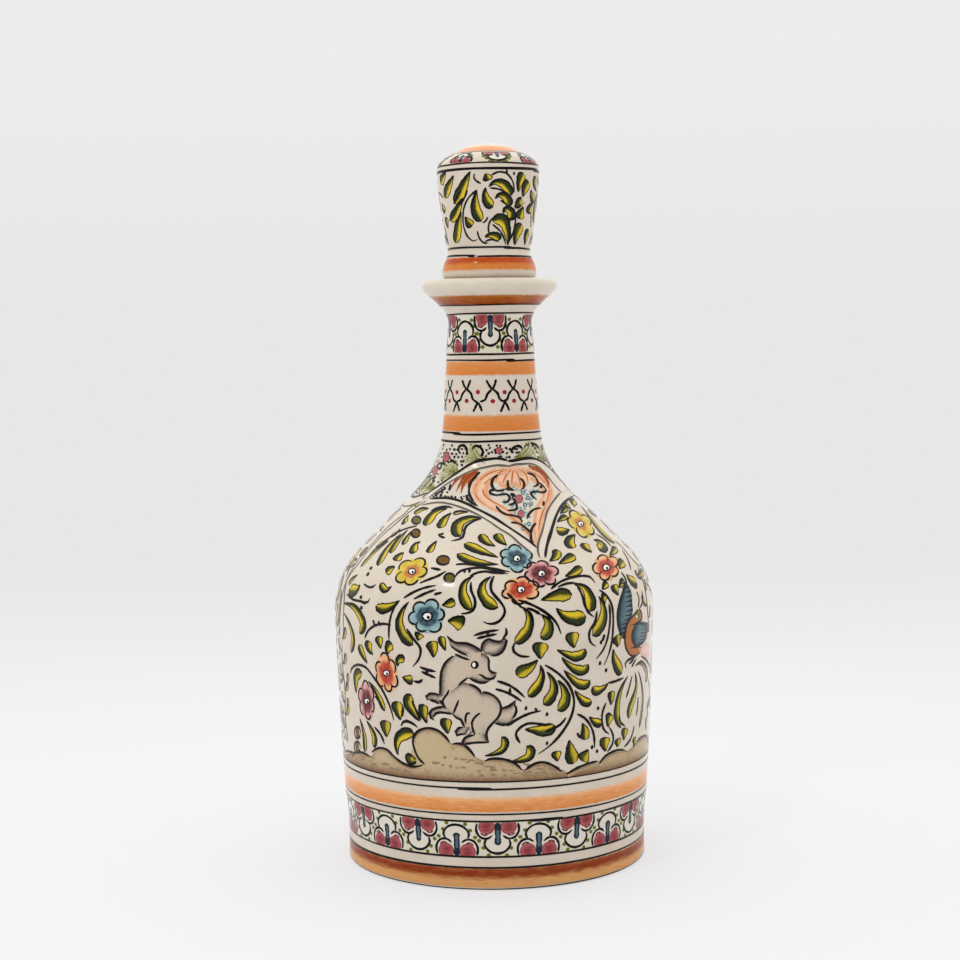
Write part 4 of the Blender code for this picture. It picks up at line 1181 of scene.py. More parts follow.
    def ring(self, rise, width, pigment, start):
        """A line drawn once round on the turning wheel: its ends pass each other, and it strays a little."""
        count = int(np.clip(self.radius(rise) * math.tau / (RING_FACET * MM), 90, 236))
        turn = math.radians(start) + np.linspace(0.0, math.radians(RING_RUN), count)
        t = np.linspace(0.0, 1.0, count)
        stray = (self.sway(count, 0.14) - 1.0 + 0.5 * (t - 0.5)) * MM
        press = np.minimum(1.0, np.minimum(t, 1.0 - t) / 0.02 + 0.4)
        half = 0.5 * width * MM * press * self.sway(count, 0.14)
        self.sheet(self.ribbon(np.stack([turn, rise + stray], 1), half), 0.085, pigment, pigment)

    def band(self, low, high, deep, pale, lift=0.035, upper=0.3, lower=0.1, profile=WATERY):
        """A broad band of colour round the piece, its colour running from foot to top as the profile says."""
        middle = (low + high) / 2
        count = int(np.clip(self.radius(middle) * math.tau / (BAND_FACET * MM), 80, 220))
        turn = math.pi + np.linspace(0.0, math.tau, count)
        rows = max(8, int((high - low) / (BAND_ROW * MM)))
        t = np.linspace(0.0, 1.0, rows)
        rise = low + (high - low) * t
        grid = np.stack(np.broadcast_arrays(turn[None, :], rise[:, None]), -1)
        cover = np.minimum(np.clip(t / lower, 0.0, 1.0), np.clip((1.0 - t) / upper, 0.0, 1.0))
        body = np.interp(t, *profile)
        self.sheet(grid, lift, deep, pale, body=body[:, None], cover=0.35 + 0.65 * cover[:, None])

    def lay(self, name, finish="brushed_oxides", body="bottle", copies=FRONT):
        """Makes one piece of all sheets and their copies.

        A copy is a turn round the axis in degrees, then the least and greatest turn and the least and greatest
        rise, in millimetres, of the sheets that it takes. Each sheet gets a cell of its own on the unrolled plane.
        """
        middles = [np.degrees(sheet[0][..., 0].mean()) for sheet in self.sheets]
        rises = [sheet[0][..., 1].mean() / MM for sheet in self.sheets]
        laid = [
            (sheet, math.radians(turn)) for turn, left, right, low, high in copies
            for sheet, middle, rise in zip(self.sheets, middles, rises)
            if left <= middle <= right and low <= rise <= high
        ]
        across, start, parts = math.ceil(math.sqrt(len(laid))), 0, []
        for index, ((grid, lift, shade, colours), turn) in enumerate(laid):
            rows, columns = grid.shape[:2]
            place, facing = self.outline.point(grid[..., 0] + turn, grid[..., 1], lift)
            number = start + np.arange(rows * columns).reshape(rows, columns)
            quad = np.stack([number[:-1, :-1], number[:-1, 1:], number[1:, 1:], number[1:, :-1]], -1)
            ways = (np.linspace(CELL_START, CELL_END, count) for count in (rows, columns))
            v, u = np.meshgrid(*ways, indexing="ij")
            spread = (np.array([index % across, index // across]) + np.stack([u, v], -1)) / across
            spot = np.stack([spread[:-1, :-1], spread[:-1, 1:], spread[1:, 1:], spread[1:, :-1]], -2)
            run, rise = grid[:, 1:] - grid[:, :-1], grid[1:] - grid[:-1]
            if np.cross(run[:-1], rise[:, :-1]).sum() < 0.0:
                quad, spot = quad[..., ::-1], spot[..., ::-1, :]
            parts.append((place, facing, quad, spot, shade, colours[..., 0, :], colours[..., 1, :]))
            start += rows * columns
        points, normals, faces, corners, shades, deeps, pales = (
            np.vstack([part.reshape(-1, part.shape[-1]) for part in kind]) for kind in zip(*parts)
        )
        mesh = make_piece(name, points, faces.tolist(), corners, bpy.data.materials[finish], body).data
        lay_attribute(mesh, "shade", "FLOAT_VECTOR", "POINT", shades)
        for label, values in (("deep", deeps), ("pale", pales)):
            lay_attribute(mesh, label, "FLOAT_COLOR", "POINT", np.hstack([values, np.ones((start, 1))]))
        mesh.normals_split_custom_set_from_vertices(normals.tolist())


# Materials

# Settings of the nodes that mix two colours and that step smoothly, and of the noise in the glaze
COLOURED = {"data_type": "RGBA"}
SMOOTH = {"interpolation_type": "SMOOTHSTEP"}
CLOUDY = {"Detail": 2.0, "Roughness": 0.55}


def add(tree, kind, inputs=(), output=0, **settings):
    """Adds a node and gives one of its outputs, or the node where it has none.

    Settings are set on it. Each input, by name or in order, gets a value or a link from another node's output.
    """
    node = tree.nodes.new("ShaderNode" + kind)
    for name, value in settings.items():
        setattr(node, name, value)
    for name, value in inputs.items() if isinstance(inputs, dict) else enumerate(inputs):
        if isinstance(value, bpy.types.NodeSocket):
            tree.links.new(value, node.inputs[name])
        else:
            node.inputs[name].default_value = value
    return node.outputs[output] if node.outputs else node


def new_material(name):
    """An empty node material, its tree, and the place on the piece that its patterns follow."""
    material = bpy.data.materials.new(name)
    material.use_nodes = True
    tree = material.node_tree
    tree.nodes.clear()
    return material, tree, add(tree, "TexCoord", output="Object")


def sized(place, millimetres, **more):
    """Inputs of a pattern whose spots are about so many millimetres across."""
    return {"Vector": place, "Scale": 1.0 / (millimetres * MM), **more}


def glaze_colour(tree, place):
    """Warm white tin glaze: clouds 30 and 8 mm across where it lies thicker, and a rare dark speck."""
    colours = bpy.context.scene.carafe_colours
    noises = [add(tree, "TexNoise", sized(place, size, **CLOUDY)) for size in (30.0, 8.0)]
    clouds = add(tree, "Math", noises, operation="ADD")
    share = add(tree, "MapRange", (clouds, 0.85, 1.2, 0.0, 1.0))
    ground = add(tree, "Mix", {0: share, 6: colours.glaze, 7: colours.glaze_shade}, 2, **COLOURED)
    cells = add(tree, "TexVoronoi", sized(place, 9.0))
    speck = add(tree, "MapRange", (cells, 0.02, 0.035, 0.5, 0.0))
    return add(tree, "Mix", {0: speck, 6: ground, 7: colours.sienna}, 2, **COLOURED)


def glaze_coat(tree, place, toned):
    """The fired glaze: glass-smooth, with a gentle swell 6 mm across that bends what it mirrors."""
    swell = add(tree, "TexNoise", sized(place, 6.0, Detail=1.0, Roughness=0.55))
    bent = add(tree, "Bump", {"Height": swell, "Strength": 0.22, "Distance": 0.10 * MM})
    skin = {"Base Color": toned, "Roughness": 0.1, "IOR": 1.5, "Specular IOR Level": 0.15, "Metallic": 0.0}
    add(tree, "OutputMaterial", [add(tree, "BsdfPrincipled", {**skin, "Normal": bent})])


def tin_glaze():
    """Tin-glazed earthenware, thrown, dipped and fired: a warm, cloudy white under a glassy skin."""
    material, tree, place = new_material("tin_glazed_earthenware")
    glaze_coat(tree, place, glaze_colour(tree, place))
    return material


def oxide_painting(name, flow, patch, stray, turn_over):
    """Metal oxides brushed on the raw glaze and fired in: they sink in, pool at the edges and run thin.

    Flow squashes the brush marks, so that on bands they run round the piece, and patch is their size in
    millimetres. Stray is how far they mottle the colour, and turn_over where the deep colour gives way to the pale.
    """
    _, tree, place = new_material(name)
    marks = add(tree, "Mapping", {"Vector": place, "Scale": (1.0, 1.0, flow)})
    shade = add(tree, "SeparateXYZ", [add(tree, "Attribute", (), "Vector", attribute_name="shade")]).node.outputs
    deep, pale = (add(tree, "Attribute", (), "Color", attribute_name=label) for label in ("deep", "pale"))
    broad, fine = (add(tree, "TexNoise", sized(marks, size, **CLOUDY)) for size in (patch, patch / 3.0))

    def stepped(value, noise, amount, *limits):
        """The value moved up or down by the noise, then stepped smoothly between the limits."""
        shift = add(tree, "Math", (noise, 0.5), operation="SUBTRACT")
        moved = add(tree, "Math", (shift, amount, value), operation="MULTIPLY_ADD")
        return add(tree, "MapRange", (moved, *limits), **SMOOTH)

    body = stepped(shade["Z"], broad, stray, *turn_over, 0.0, 1.0)
    outline = stepped(shade["X"], fine, 0.9, 0.8, 1.2, 0.95, 0.0)
    cover = stepped(shade["Y"], fine, 0.9, 0.25, 0.75, 0.0, 1.0)
    painted = add(tree, "Mix", {0: body, 6: deep, 7: pale}, 2, **COLOURED)
    black = bpy.context.scene.carafe_colours.black
    painted = add(tree, "Mix", {0: outline, 6: painted, 7: black}, 2, **COLOURED)
    painted = add(tree, "Mix", {0: cover, 6: glaze_colour(tree, place), 7: painted}, 2, **COLOURED)
    glaze_coat(tree, place, painted)


def natural_cork():
    """Cork cut across its grain: matt ochre-brown, with 1 mm cells and darker pores 2 mm apart."""
    cork = bpy.context.scene.carafe_colours.cork
    dark = (*(channel * 0.35 for channel in cork[:3]), 1.0)
    material, tree, place = new_material("natural_cork")
    cells = add(tree, "TexNoise", sized(place, 1.0, Detail=4.0, Roughness=0.55))
    pore = add(tree, "MapRange", (add(tree, "TexVoronoi", sized(place, 2.2)), 0.12, 0.3, 0.75, 0.0))
    toned = add(tree, "Mix", {0: cells, 6: cork, 7: dark}, 2, **COLOURED)
    toned = add(tree, "Mix", {0: pore, 6: toned, 7: dark}, 2, **COLOURED)
    relief = add(tree, "Bump", {"Height": cells, "Strength": 0.6, "Distance": 0.2 * MM})
    matt = {"Base Color": toned, "Roughness": 0.85, "IOR": 1.45, "Metallic": 0.0, "Normal": relief}
    add(tree, "OutputMaterial", [add(tree, "BsdfPrincipled", matt)])
    return material


def studio_paper():
    """Matt white paper with no sheen: it shows a soft shadow by the carafe and greys a little with distance."""
    studio = bpy.context.scene.carafe_studio
    material, tree, place = new_material("matt_studio_paper")
    away = add(tree, "MapRange", (add(tree, "SeparateXYZ", [place], "Y"), 0.1, 1.1), **SMOOTH)
    tone = add(tree, "Mix", {0: away, 6: studio.paper, 7: studio.paper_far}, 2, **COLOURED)
    lit = add(tree, "BsdfDiffuse", [studio.paper_lit])
    plain = add(tree, "Emission", (tone, 1.0))
    reach = add(tree, "VectorMath", [place], "Value", operation="LENGTH")
    near = add(tree, "MapRange", (reach, 0.1, 0.6, 0.62, 1.0))
    ray = add(tree, "LightPath", output="Is Camera Ray")
    seen = add(tree, "Math", (ray, near), operation="MULTIPLY")
    add(tree, "OutputMaterial", [add(tree, "MixShader", (seen, lit, plain))])
    return material


# Pieces


class CARAFE_OT_bottle(bpy.types.Operator):
    """Turns the bottle's glazed surface over the solid bottle."""

    bl_idname = "carafe.bottle"
    bl_label = "Bottle"

    def execute(self, context):
        """Makes the surface and lets it take the solid's place."""
        sizes = context.scene.carafe_sizes
        piece = lathe("bottle_glaze", bottle_profile(sizes), 240, tin_glaze(), "bottle")
        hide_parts("bottle")
        return {"FINISHED"}


class CARAFE_OT_stopper(bpy.types.Operator):
    """Turns the stopper's glazed surface and its cork ring over the solids."""

    bl_idname = "carafe.stopper"
    bl_label = "Stopper"

    def execute(self, context):
        """Makes both surfaces and lets them take the solids' places."""
        sizes, glaze = context.scene.carafe_sizes, bpy.data.materials["tin_glazed_earthenware"]
        piece = lathe("stopper_glaze", stopper_profile(sizes), 180, glaze, "stopper")
        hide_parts("stopper")
        ring = lathe("stopper_cork_ring", cork_profile(sizes), 160, natural_cork(), "stopper")
        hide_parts("stopper_cork")
        return {"FINISHED"}


def tint(name):
    """One of the user's colours as linear red, green and blue."""
    return np.array(getattr(bpy.context.scene.carafe_colours, name)[:3])


def tints(*names):
    """Several of the user's colours."""
    return [tint(name) for name in names]


def mixed(first, second, share):
    """A colour between two others."""
    return first * (1.0 - share) + second * share


# The white that the pigments run out to
WHITE = np.array(linear("EFEBE3")[:3])
# How far above its line a lobe is cut off, in millimetres, and the share of what lies past it that is taken away
LOBE_FOOT = 0.12
LOBE_CUT = 0.98


def lunettes(paint, rise, room, pairs, front, width, tall):
    """A row of paired lobes hanging from the upper line, and the same row standing on the lower one.

    Each motif is two side lobes with red discs and a teal bar that runs up into a tall middle lobe.
    """
    black, red, teal, olive = tints("black", "red", "teal", "olive")
    ground = mixed(tint("glaze"), WHITE, 0.35)
    for index in range(2 * pairs):
        turn = front + index * math.pi / pairs
        hanging = index % 2 == 0
        line, way = (rise + room, -1.0) if hanging else (rise, 1.0)

        def local(points):
            """Motif points stretched to the row's own width and height, and turned to hang or stand."""
            return np.reshape(points, (-1, 2)) * (width, way * tall)

        def lobe(centre, size, deep, pale, lift, cut=False):
            """A round lobe, cut off where it would pass the line that it hangs from."""
            grid, reach = paint.disc(centre, size, 0.0, 9)
            past = np.minimum(grid[..., 1] - LOBE_FOOT, 0.0)
            grid[..., 1] -= past * LOBE_CUT if cut else 0.0
            paint.sheet(
                paint.placed(turn, line, grid * (width * MM, way * tall * MM)), lift, deep, pale,
                body=np.interp(reach, (0.0, 0.5, 0.8, 1.0), (0.3, 0.5, 0.95, 0.35)),
            )

        lobe((0.0, 7.2), (4.4, 4.3), ground, ground, 0.045)
        for side in (-1.0, 1.0):
            lobe((side * 4.6, 2.8), (3.4, 3.2), ground, ground, 0.05)
            disc = mixed(red, black, 0.4), mixed(red, tint("blush"), 0.25)
            lobe((side * 4.1, 1.7), (3.1, 3.0), *disc, 0.066, cut=True)
            outline = (side * 7.6, 0.4, side * 7.9, 3.6, side * 6.3, 5.9, side * 3.9, 6.3, side * 1.9, 5.0)
            paint.line(turn, line, local(outline), 0.62, black, taper=0.12)
            inner = (side * 6.4, 4.1, side * 5.1, 5.0, side * 3.6, 4.7)
            paint.line(turn, line, local(inner), 0.4, mixed(red, black, 0.5))
            for across, up in ((6.9, 7.3), (5.2, 10.0), (3.6, 12.5)):
                spread = local((side * across, up))[0] + paint.chance.uniform(-0.2, 0.2, 2)
                paint.spot(turn, line, spread, (0.8, 0.74), mixed(olive, black, 0.3), olive, lift=0.062)
        bar, streak = local((0, 0.2, 0.1, 4.5, 0, 8.9)), local((0.1, 3.0, 0.15, 8.0))
        paint.line(turn, line, bar, 1.6 * width, mixed(teal, black, 0.72), taper=0.08)
        paint.line(turn, line, streak, 0.7 * width, mixed(teal, WHITE, 0.08), lift=0.092, taper=0.08)
        crest = (-4.1, 6.4, -5.0, 8.2, -3.4, 10.9, 0, 12.0, 3.2, 10.9, 4.8, 8.4, 4.1, 6.4)
        paint.line(turn, line, local(crest), 0.62, black, count=18, taper=0.12)


class CARAFE_OT_bands(bpy.types.Operator):
    """Paints the turned lines, the orange bands and the two friezes of the bottle."""

    bl_idname = "carafe.bands"
    bl_label = "Bands and friezes"

    def execute(self, context):
        """Lines first, then the bands, the friezes and the neck's chain."""
        bottle, _ = outlines()
        black, meadow = tints("black", "meadow")
        paint, lines = Painting(bottle, 11), Painting(bottle, 12)
        for height, width, start in RING_HEIGHTS:
            lines.ring(bottle.rise_at(height * MM), width, black, start)
        for row, width, start in RING_ROWS:
            lines.ring(lines.seen([[NECK_MIDDLE, row]])[0, 1], width, black, start)
        for top, foot, middle, deep, pale, upper, lower, profile in BAND_ROWS:
            ends = paint.seen([[middle, foot], [middle, top]])[:, 1]
            paint.band(*ends, tint(deep), tint(pale), upper=upper, lower=lower, profile=profile)
        for heights, pairs, width, tall in ((FRIEZE_HEIGHTS, 12, 1.0, 1.0), (NECK_FRIEZE_HEIGHTS, 5, 0.8, 1.02)):
            low, high = (bottle.rise_at(height * MM) for height in heights)
            paint.band(low, high, meadow, mixed(meadow, WHITE, 0.4), lift=0.03, upper=0.01, lower=0.01)
            lunettes(paint, low, high - low, pairs, 0.0, width, tall)
        self.chain(lines)
        oxide_painting("banded_oxides", 6.0, 4.5, 0.9, (0.0, 1.0))
        oxide_painting("brushed_oxides", 1.0, 1.3, 0.42, (0.12, 0.88))
        paint.lay("bottle_bands", "banded_oxides")
        lines.lay("bottle_turned_lines")
        return {"FINISHED"}

    def chain(self, lines):
        """The neck's wavy twig: it forks at each crest and hollow, and has a red dot in each bay."""
        black, red = tints("black", "red")
        rise = lines.seen([[NECK_MIDDLE, CHAIN_ROW]])[0, 1]
        half = lines.radius(rise) * math.pi / CHAIN_WAVES / MM
        for index in range(CHAIN_WAVES):
            turn = (index + lines.chance.uniform(-0.06, 0.06)) * math.tau / CHAIN_WAVES
            lean = lines.chance.uniform(-0.3, 0.3)
            for points in (
                (-half, -2.3, -0.62 * half, -1.7, -0.4 * half, 0.6, -0.1, 2.4),
                (0.0, 2.4, 0.4 * half, 0.9, 0.6 * half, -1.5, half, -2.6),
                (-2.1 + lean, 6.0, -1.4, 4.2, -0.1, 2.4), (1.7 + lean, 6.1, 1.0, 4.4, 0.1, 2.3),
                (half - 1.8, -6.2 + lean, half - 0.9, -4.4, half, -2.5),
                (half + 1.6, -6.0, half + 1.0, -4.3, half, -2.5),
            ):
                lines.line(turn, rise, points, 0.62, black, taper=0.12)
            lines.spot(turn, rise, (0.1, -2.0 + lean), (0.9, 0.85), red, red, lift=0.07)
            lines.spot(turn, rise, (half, 1.4 + lean), (0.85, 0.85), red, red, lift=0.07)


# Share of a flower's size at which the middles of its lobes stand
LOBE_RING = 0.66


def flower(paint, x, y, half_width, half_height, tilt, petals, name):
    """A flower: a wash from dark heart to pale petals, a white eye, and round lobes in broken black lines.

    Lobe circles stand on a circle round the middle. Each outline runs from one crossing with its neighbour to
    the other, and some run on inwards.
    """
    black, chance = tint("black"), paint.chance
    size = np.array((half_width, half_height)) * 1.06
    middle = np.array((x, y))
    grid, reach = paint.disc(middle, size * 0.95, tilt, 23, lobes=petals, ragged=0.03)
    *names, shrink = FLOWER_TONES[name]
    tones = np.transpose([tint(tone) for tone in names])
    tone = np.stack([np.interp(reach * shrink, TONE_REACH, channel) for channel in tones], -1)
    swirl = np.sin(np.arctan2(*np.moveaxis(grid - middle, -1, 0)) * petals + chance.uniform(0.0, 6.0))
    body = 0.5 + 0.12 * swirl + 0.3 * (reach - 0.7)
    paint.sheet(paint.seen(grid, middle), 0.062, tone * 0.72, mixed(tone, WHITE, 0.1), body=body)
    eye = max(2.2, 0.19 * size.min())
    heart = mixed(tint(FLOWER_TONES[name][0]), black, 0.8)
    paint.blot(middle, (eye * 1.7, eye * 1.5), heart, black, lift=0.074, ragged=0.04)
    paint.blot(middle, (eye * 1.15, eye), WHITE, WHITE, lift=0.086, ragged=0.05)
    paint.blot(middle + (0.3 * eye, 0.3 * eye), (0.5 * eye, 0.55 * eye), black, black, lift=0.098, side=5)
    cut = math.pi / petals
    first = chance.uniform(0.0, math.tau)
    for index in range(petals):
        swell = (LOBE_RING * math.sin(cut) * 1.08 + 0.01) * chance.uniform(0.96, 1.1)
        meet = LOBE_RING * math.cos(cut) + math.sqrt(swell ** 2 - (LOBE_RING * math.sin(cut)) ** 2)
        end = math.atan2(meet * math.sin(cut), meet * math.cos(cut) - LOBE_RING)
        turn = first + index * math.tau / petals + chance.uniform(-0.1, 0.1)
        angle = np.linspace(-end + chance.uniform(0.0, 0.6), end + chance.uniform(-0.15, 0.6), 11) + turn
        centre = np.array((math.cos(turn), math.sin(turn))) * LOBE_RING
        lobe = centre + np.stack([np.cos(angle), np.sin(angle)], 1) * swell
        lobe = middle + turned(lobe / (0.68 + swell) * size * chance.uniform(0.93, 1.07), tilt)
        paint.drawn(lobe, 0.55, black, step=2.2, lift=0.09, about=middle)


def turned(points, tilt):
    """Picture points turned by an angle in degrees."""
    cosine, sine = math.cos(math.radians(tilt)), math.sin(math.radians(tilt))
    return np.asarray(points) @ np.array(((cosine, sine), (-sine, cosine)))


class CARAFE_OT_field(bpy.types.Operator):
    """Paints the field of leaves, berries, flowers and stems round the body."""

    bl_idname = "carafe.field"
    bl_label = "Leaves and flowers"

    def execute(self, context):
        """Leaves, flowers and brush lines, each repeated behind, and strips of them at both sides."""
        bottle, _ = outlines()
        black, green, olive, yellow, fur = tints("black", "green", "olive", "yellow", "fur")
        leaves = Painting(bottle, 21)
        for breadth, *spine in FIELD_LEAVES:
            dark = mixed(green, olive, leaves.chance.uniform(0.0, 0.3))
            leaves.leaf(spine, breadth, dark, mixed(yellow, olive, leaves.chance.uniform(0.0, 0.4)))
        # Blue-grey leaves, and the painted highlight at the top of the field: a grey streak for the glaze's sheen
        for breadth, *spine in GREY_LEAVES_AND_HIGHLIGHT:
            leaves.leaf(spine, breadth, mixed(green, fur, 0.2), mixed(mixed(yellow, olive, 0.4), fur, 0.4))
        sprigs = [curve(stem, 41) for stem in SPRIGS]
        for stem in sprigs:
            count = int(abs(stem[-1, 1] - stem[0, 1]) / 4.6)
            for index in range(count):
                side = 1.0 if index % 2 else -1.0
                spine = curve(((side * 0.6, 0.2), (side * 2.8, 1.2), (side * 4.4, 4.2)), 15)
                root = stem[(index + 1) * 40 // count] * UNROLLED
                spine = leaves.placed(*root, spine * leaves.chance.uniform(0.8, 1.25) * MM)
                leaves.blade(spine, leaves.chance.uniform(2.0, 2.8) * MM, green, yellow)
        for x, y, half_width, half_height, brown in BERRIES:
            pigment = mixed(mixed(olive, tint("sienna"), 0.6 * brown), black, 0.25)
            leaves.blot((x, y), (half_width * 0.9, half_height * 0.9), mixed(pigment, black, 0.4), pigment)
            outline = (arc((x, y), 1.0, 20, 375, 13) - (x, y)) * (half_width, half_height) + (x, y)
            leaves.drawn(outline, 0.6, black, step=2.0)
        leaves.lay("bottle_leaves", copies=ALL_ROUND)
        flowers = Painting(bottle, 22)
        for row in FLOWERS:
            flower(flowers, *row)
        flowers.lay("bottle_flowers", copies=ALL_ROUND)
        stems = Painting(bottle, 23)
        stems.lines(STEMS, 0.72, black)
        for x, y in np.reshape(DOTS, (-1, 2)):
            stems.drawn((x - 1.3, y, x + 1.3, y + 0.4), 1.0, black)
        stems.lines(FRAME_LINES, 0.65, mixed(black, fur, 0.2))
        for stem in sprigs:
            stems.stroke(stem * UNROLLED, 0.6, black)
        stems.lay("bottle_stems", copies=ALL_ROUND)
        return {"FINISHED"}


class CARAFE_OT_mounds(bpy.types.Operator):
    """Paints the mounds at the foot of the field."""

    bl_idname = "carafe.mounds"
    bl_label = "Mounds"

    def execute(self, context):
        """One wash all round, darker under its top and at its foot, then the clods' arcs and a few brush hairs."""
        bottle, _ = outlines()
        black, earth, sienna, green = tints("black", "earth", "sienna", "green")
        clay = mixed(sienna, mixed(green, earth, 0.35), 0.62)
        paint = Painting(bottle, 32)
        half = np.vstack([paint.seen(np.reshape(MOUND_WASH, (-1, 2))), np.array(MOUND_SIDE) * UNROLLED])
        turn = np.linspace(0.0, math.tau, 421)
        top, foot = np.interp(turn, *half.T, period=math.pi), bottle.rise_at(MOUND_FOOT * MM)
        share = np.linspace(0.0, 1.0, 15)[:, None] ** 1.6
        rise = top + (foot - top) * share
        body = 0.86 - 0.5 * np.exp((rise - top) / (1.2 * MM)) - 0.85 * np.exp((foot - rise) / (2.6 * MM))
        paint.sheet(np.stack(np.broadcast_arrays(turn, rise), -1), 0.03, clay, earth, body=body)
        paint.lay("bottle_mounds")
        arcs, dark = Painting(bottle, 33), mixed(clay, earth, 0.3)
        for points in MOUNDS:
            arcs.shading(points, 1.5, dark, earth, shift=(0.4, 2.4))
        for points in MOUNDS[:7]:
            under = np.reshape(points, (-1, 2)) + (1.0, 4.0)
            arcs.hatch(under, len(points) // 3, (2.0, 3.5), 0.16, mixed(clay, earth, 0.25))
        for root in np.concatenate([curve(points, 12) for points in MOUND_STREAKS]):
            root = root + arcs.chance.normal(0.0, 1.0, 2) * (3.0, 1.5)
            run, sag, width = arcs.chance.uniform((3.0, -0.8, 0.3), (9.0, 1.4, 0.9))
            streak = (*root, *(root + (run / 2, sag)), *(root + (run, 0.4)))
            arcs.drawn(streak, width, dark, step=2.5, lift=0.066, taper=0.6)
        arcs.lines(MOUNDS, 0.66, black, taper=0.15)
        for points in MOUND_SIDE_ARCS:
            arcs.stroke(curve(points, 17) * UNROLLED, 0.66, black, taper=0.15)
        arcs.lay("bottle_mound_lines", copies=FRONT_AND_BACK)
        return {"FINISHED"}


class CARAFE_OT_animals(bpy.types.Operator):
    """Paints the running hare and the butterfly."""

    bl_idname = "carafe.animals"
    bl_label = "Hare and butterfly"

    def execute(self, context):
        """Washes under, outlines over, in front and behind."""
        bottle, _ = outlines()
        black, fur, wine = tints("black", "fur", "wine")
        paint = Painting(bottle, 31)
        dusk = mixed(fur, mixed(black, wine, 0.12), 0.8)
        for upper, lower, *sides in HARE_WASHES:
            sides = sides[0] if sides else (1.0, 1.0)
            paint.wash(upper, lower, dusk, fur, lift=0.055, body=0.86, rim=1.15, rows=15, sides=sides)
        paint.lines(HARE_LINES, 0.62, black, taper=0.12)
        paint.blot((474.8, 664.8), (4.1, 4.1), black, black, lift=0.085)
        paint.blot((473.9, 664.8), (1.6, 2.4), WHITE, WHITE, lift=0.098, side=7)
        self.butterfly(paint)
        paint.lay("bottle_animals", copies=FRONT_AND_BACK)
        return {"FINISHED"}

    def butterfly(self, paint):
        """The butterfly: two blue-grey wings with hatched edges, a mauve one, an ochre body and two feelers."""
        black, teal, sky, blush, olive = tints("black", "teal", "sky", "blush", "olive")
        ochre = mixed(*tints("orange", "green"), 0.25)
        shade = np.interp(np.linspace(0.0, 1.0, 9), (0.0, 0.35, 1.0), (0.15, 0.5, 0.75))[:, None]
        for left, right in BUTTERFLY_WINGS:
            colours = mixed(teal, black, 0.6), mixed(teal, sky, 0.6)
            paint.wash(left, right, *colours, lift=0.058, body=shade, rim=0.35)
            paint.drawn(left, 0.62, black)
            for root in curve(right, 13):
                paint.drawn((*root, *(root + (-1.6, 1.6)), *(root + (-4.2, 1.8))), 0.42, black, step=1.5, lift=0.082)
                streak = (*(root + (-1.0, -1.0)), *(root + (-3.4, 1.4)), *(root + (-7.6, 2.2)))
                paint.drawn(streak, 0.3, mixed(teal, black, 0.7), step=2.0, lift=0.072)
        mauve = mixed(blush, tint("fur"), 0.3)
        paint.wash(*BUTTERFLY_MAUVE, mauve, mixed(blush, WHITE, 0.5), lift=0.05, body=0.6, rim=0.5)
        paint.wash(*BUTTERFLY_BODY, mixed(ochre, black, 0.4), ochre, lift=0.065, body=0.62, rim=0.2)
        paint.lines((*BUTTERFLY_BODY, *BUTTERFLY_FEELERS), 0.6, black, step=2.5, lift=0.09)
        paint.blot((638.2, 615.0), (3.0, 4.8), mixed(olive, black, 0.5), olive, side=7, lift=0.078)
        paint.blot((636.6, 616.6), (1.0, 1.6), WHITE, WHITE, side=5, lift=0.1)


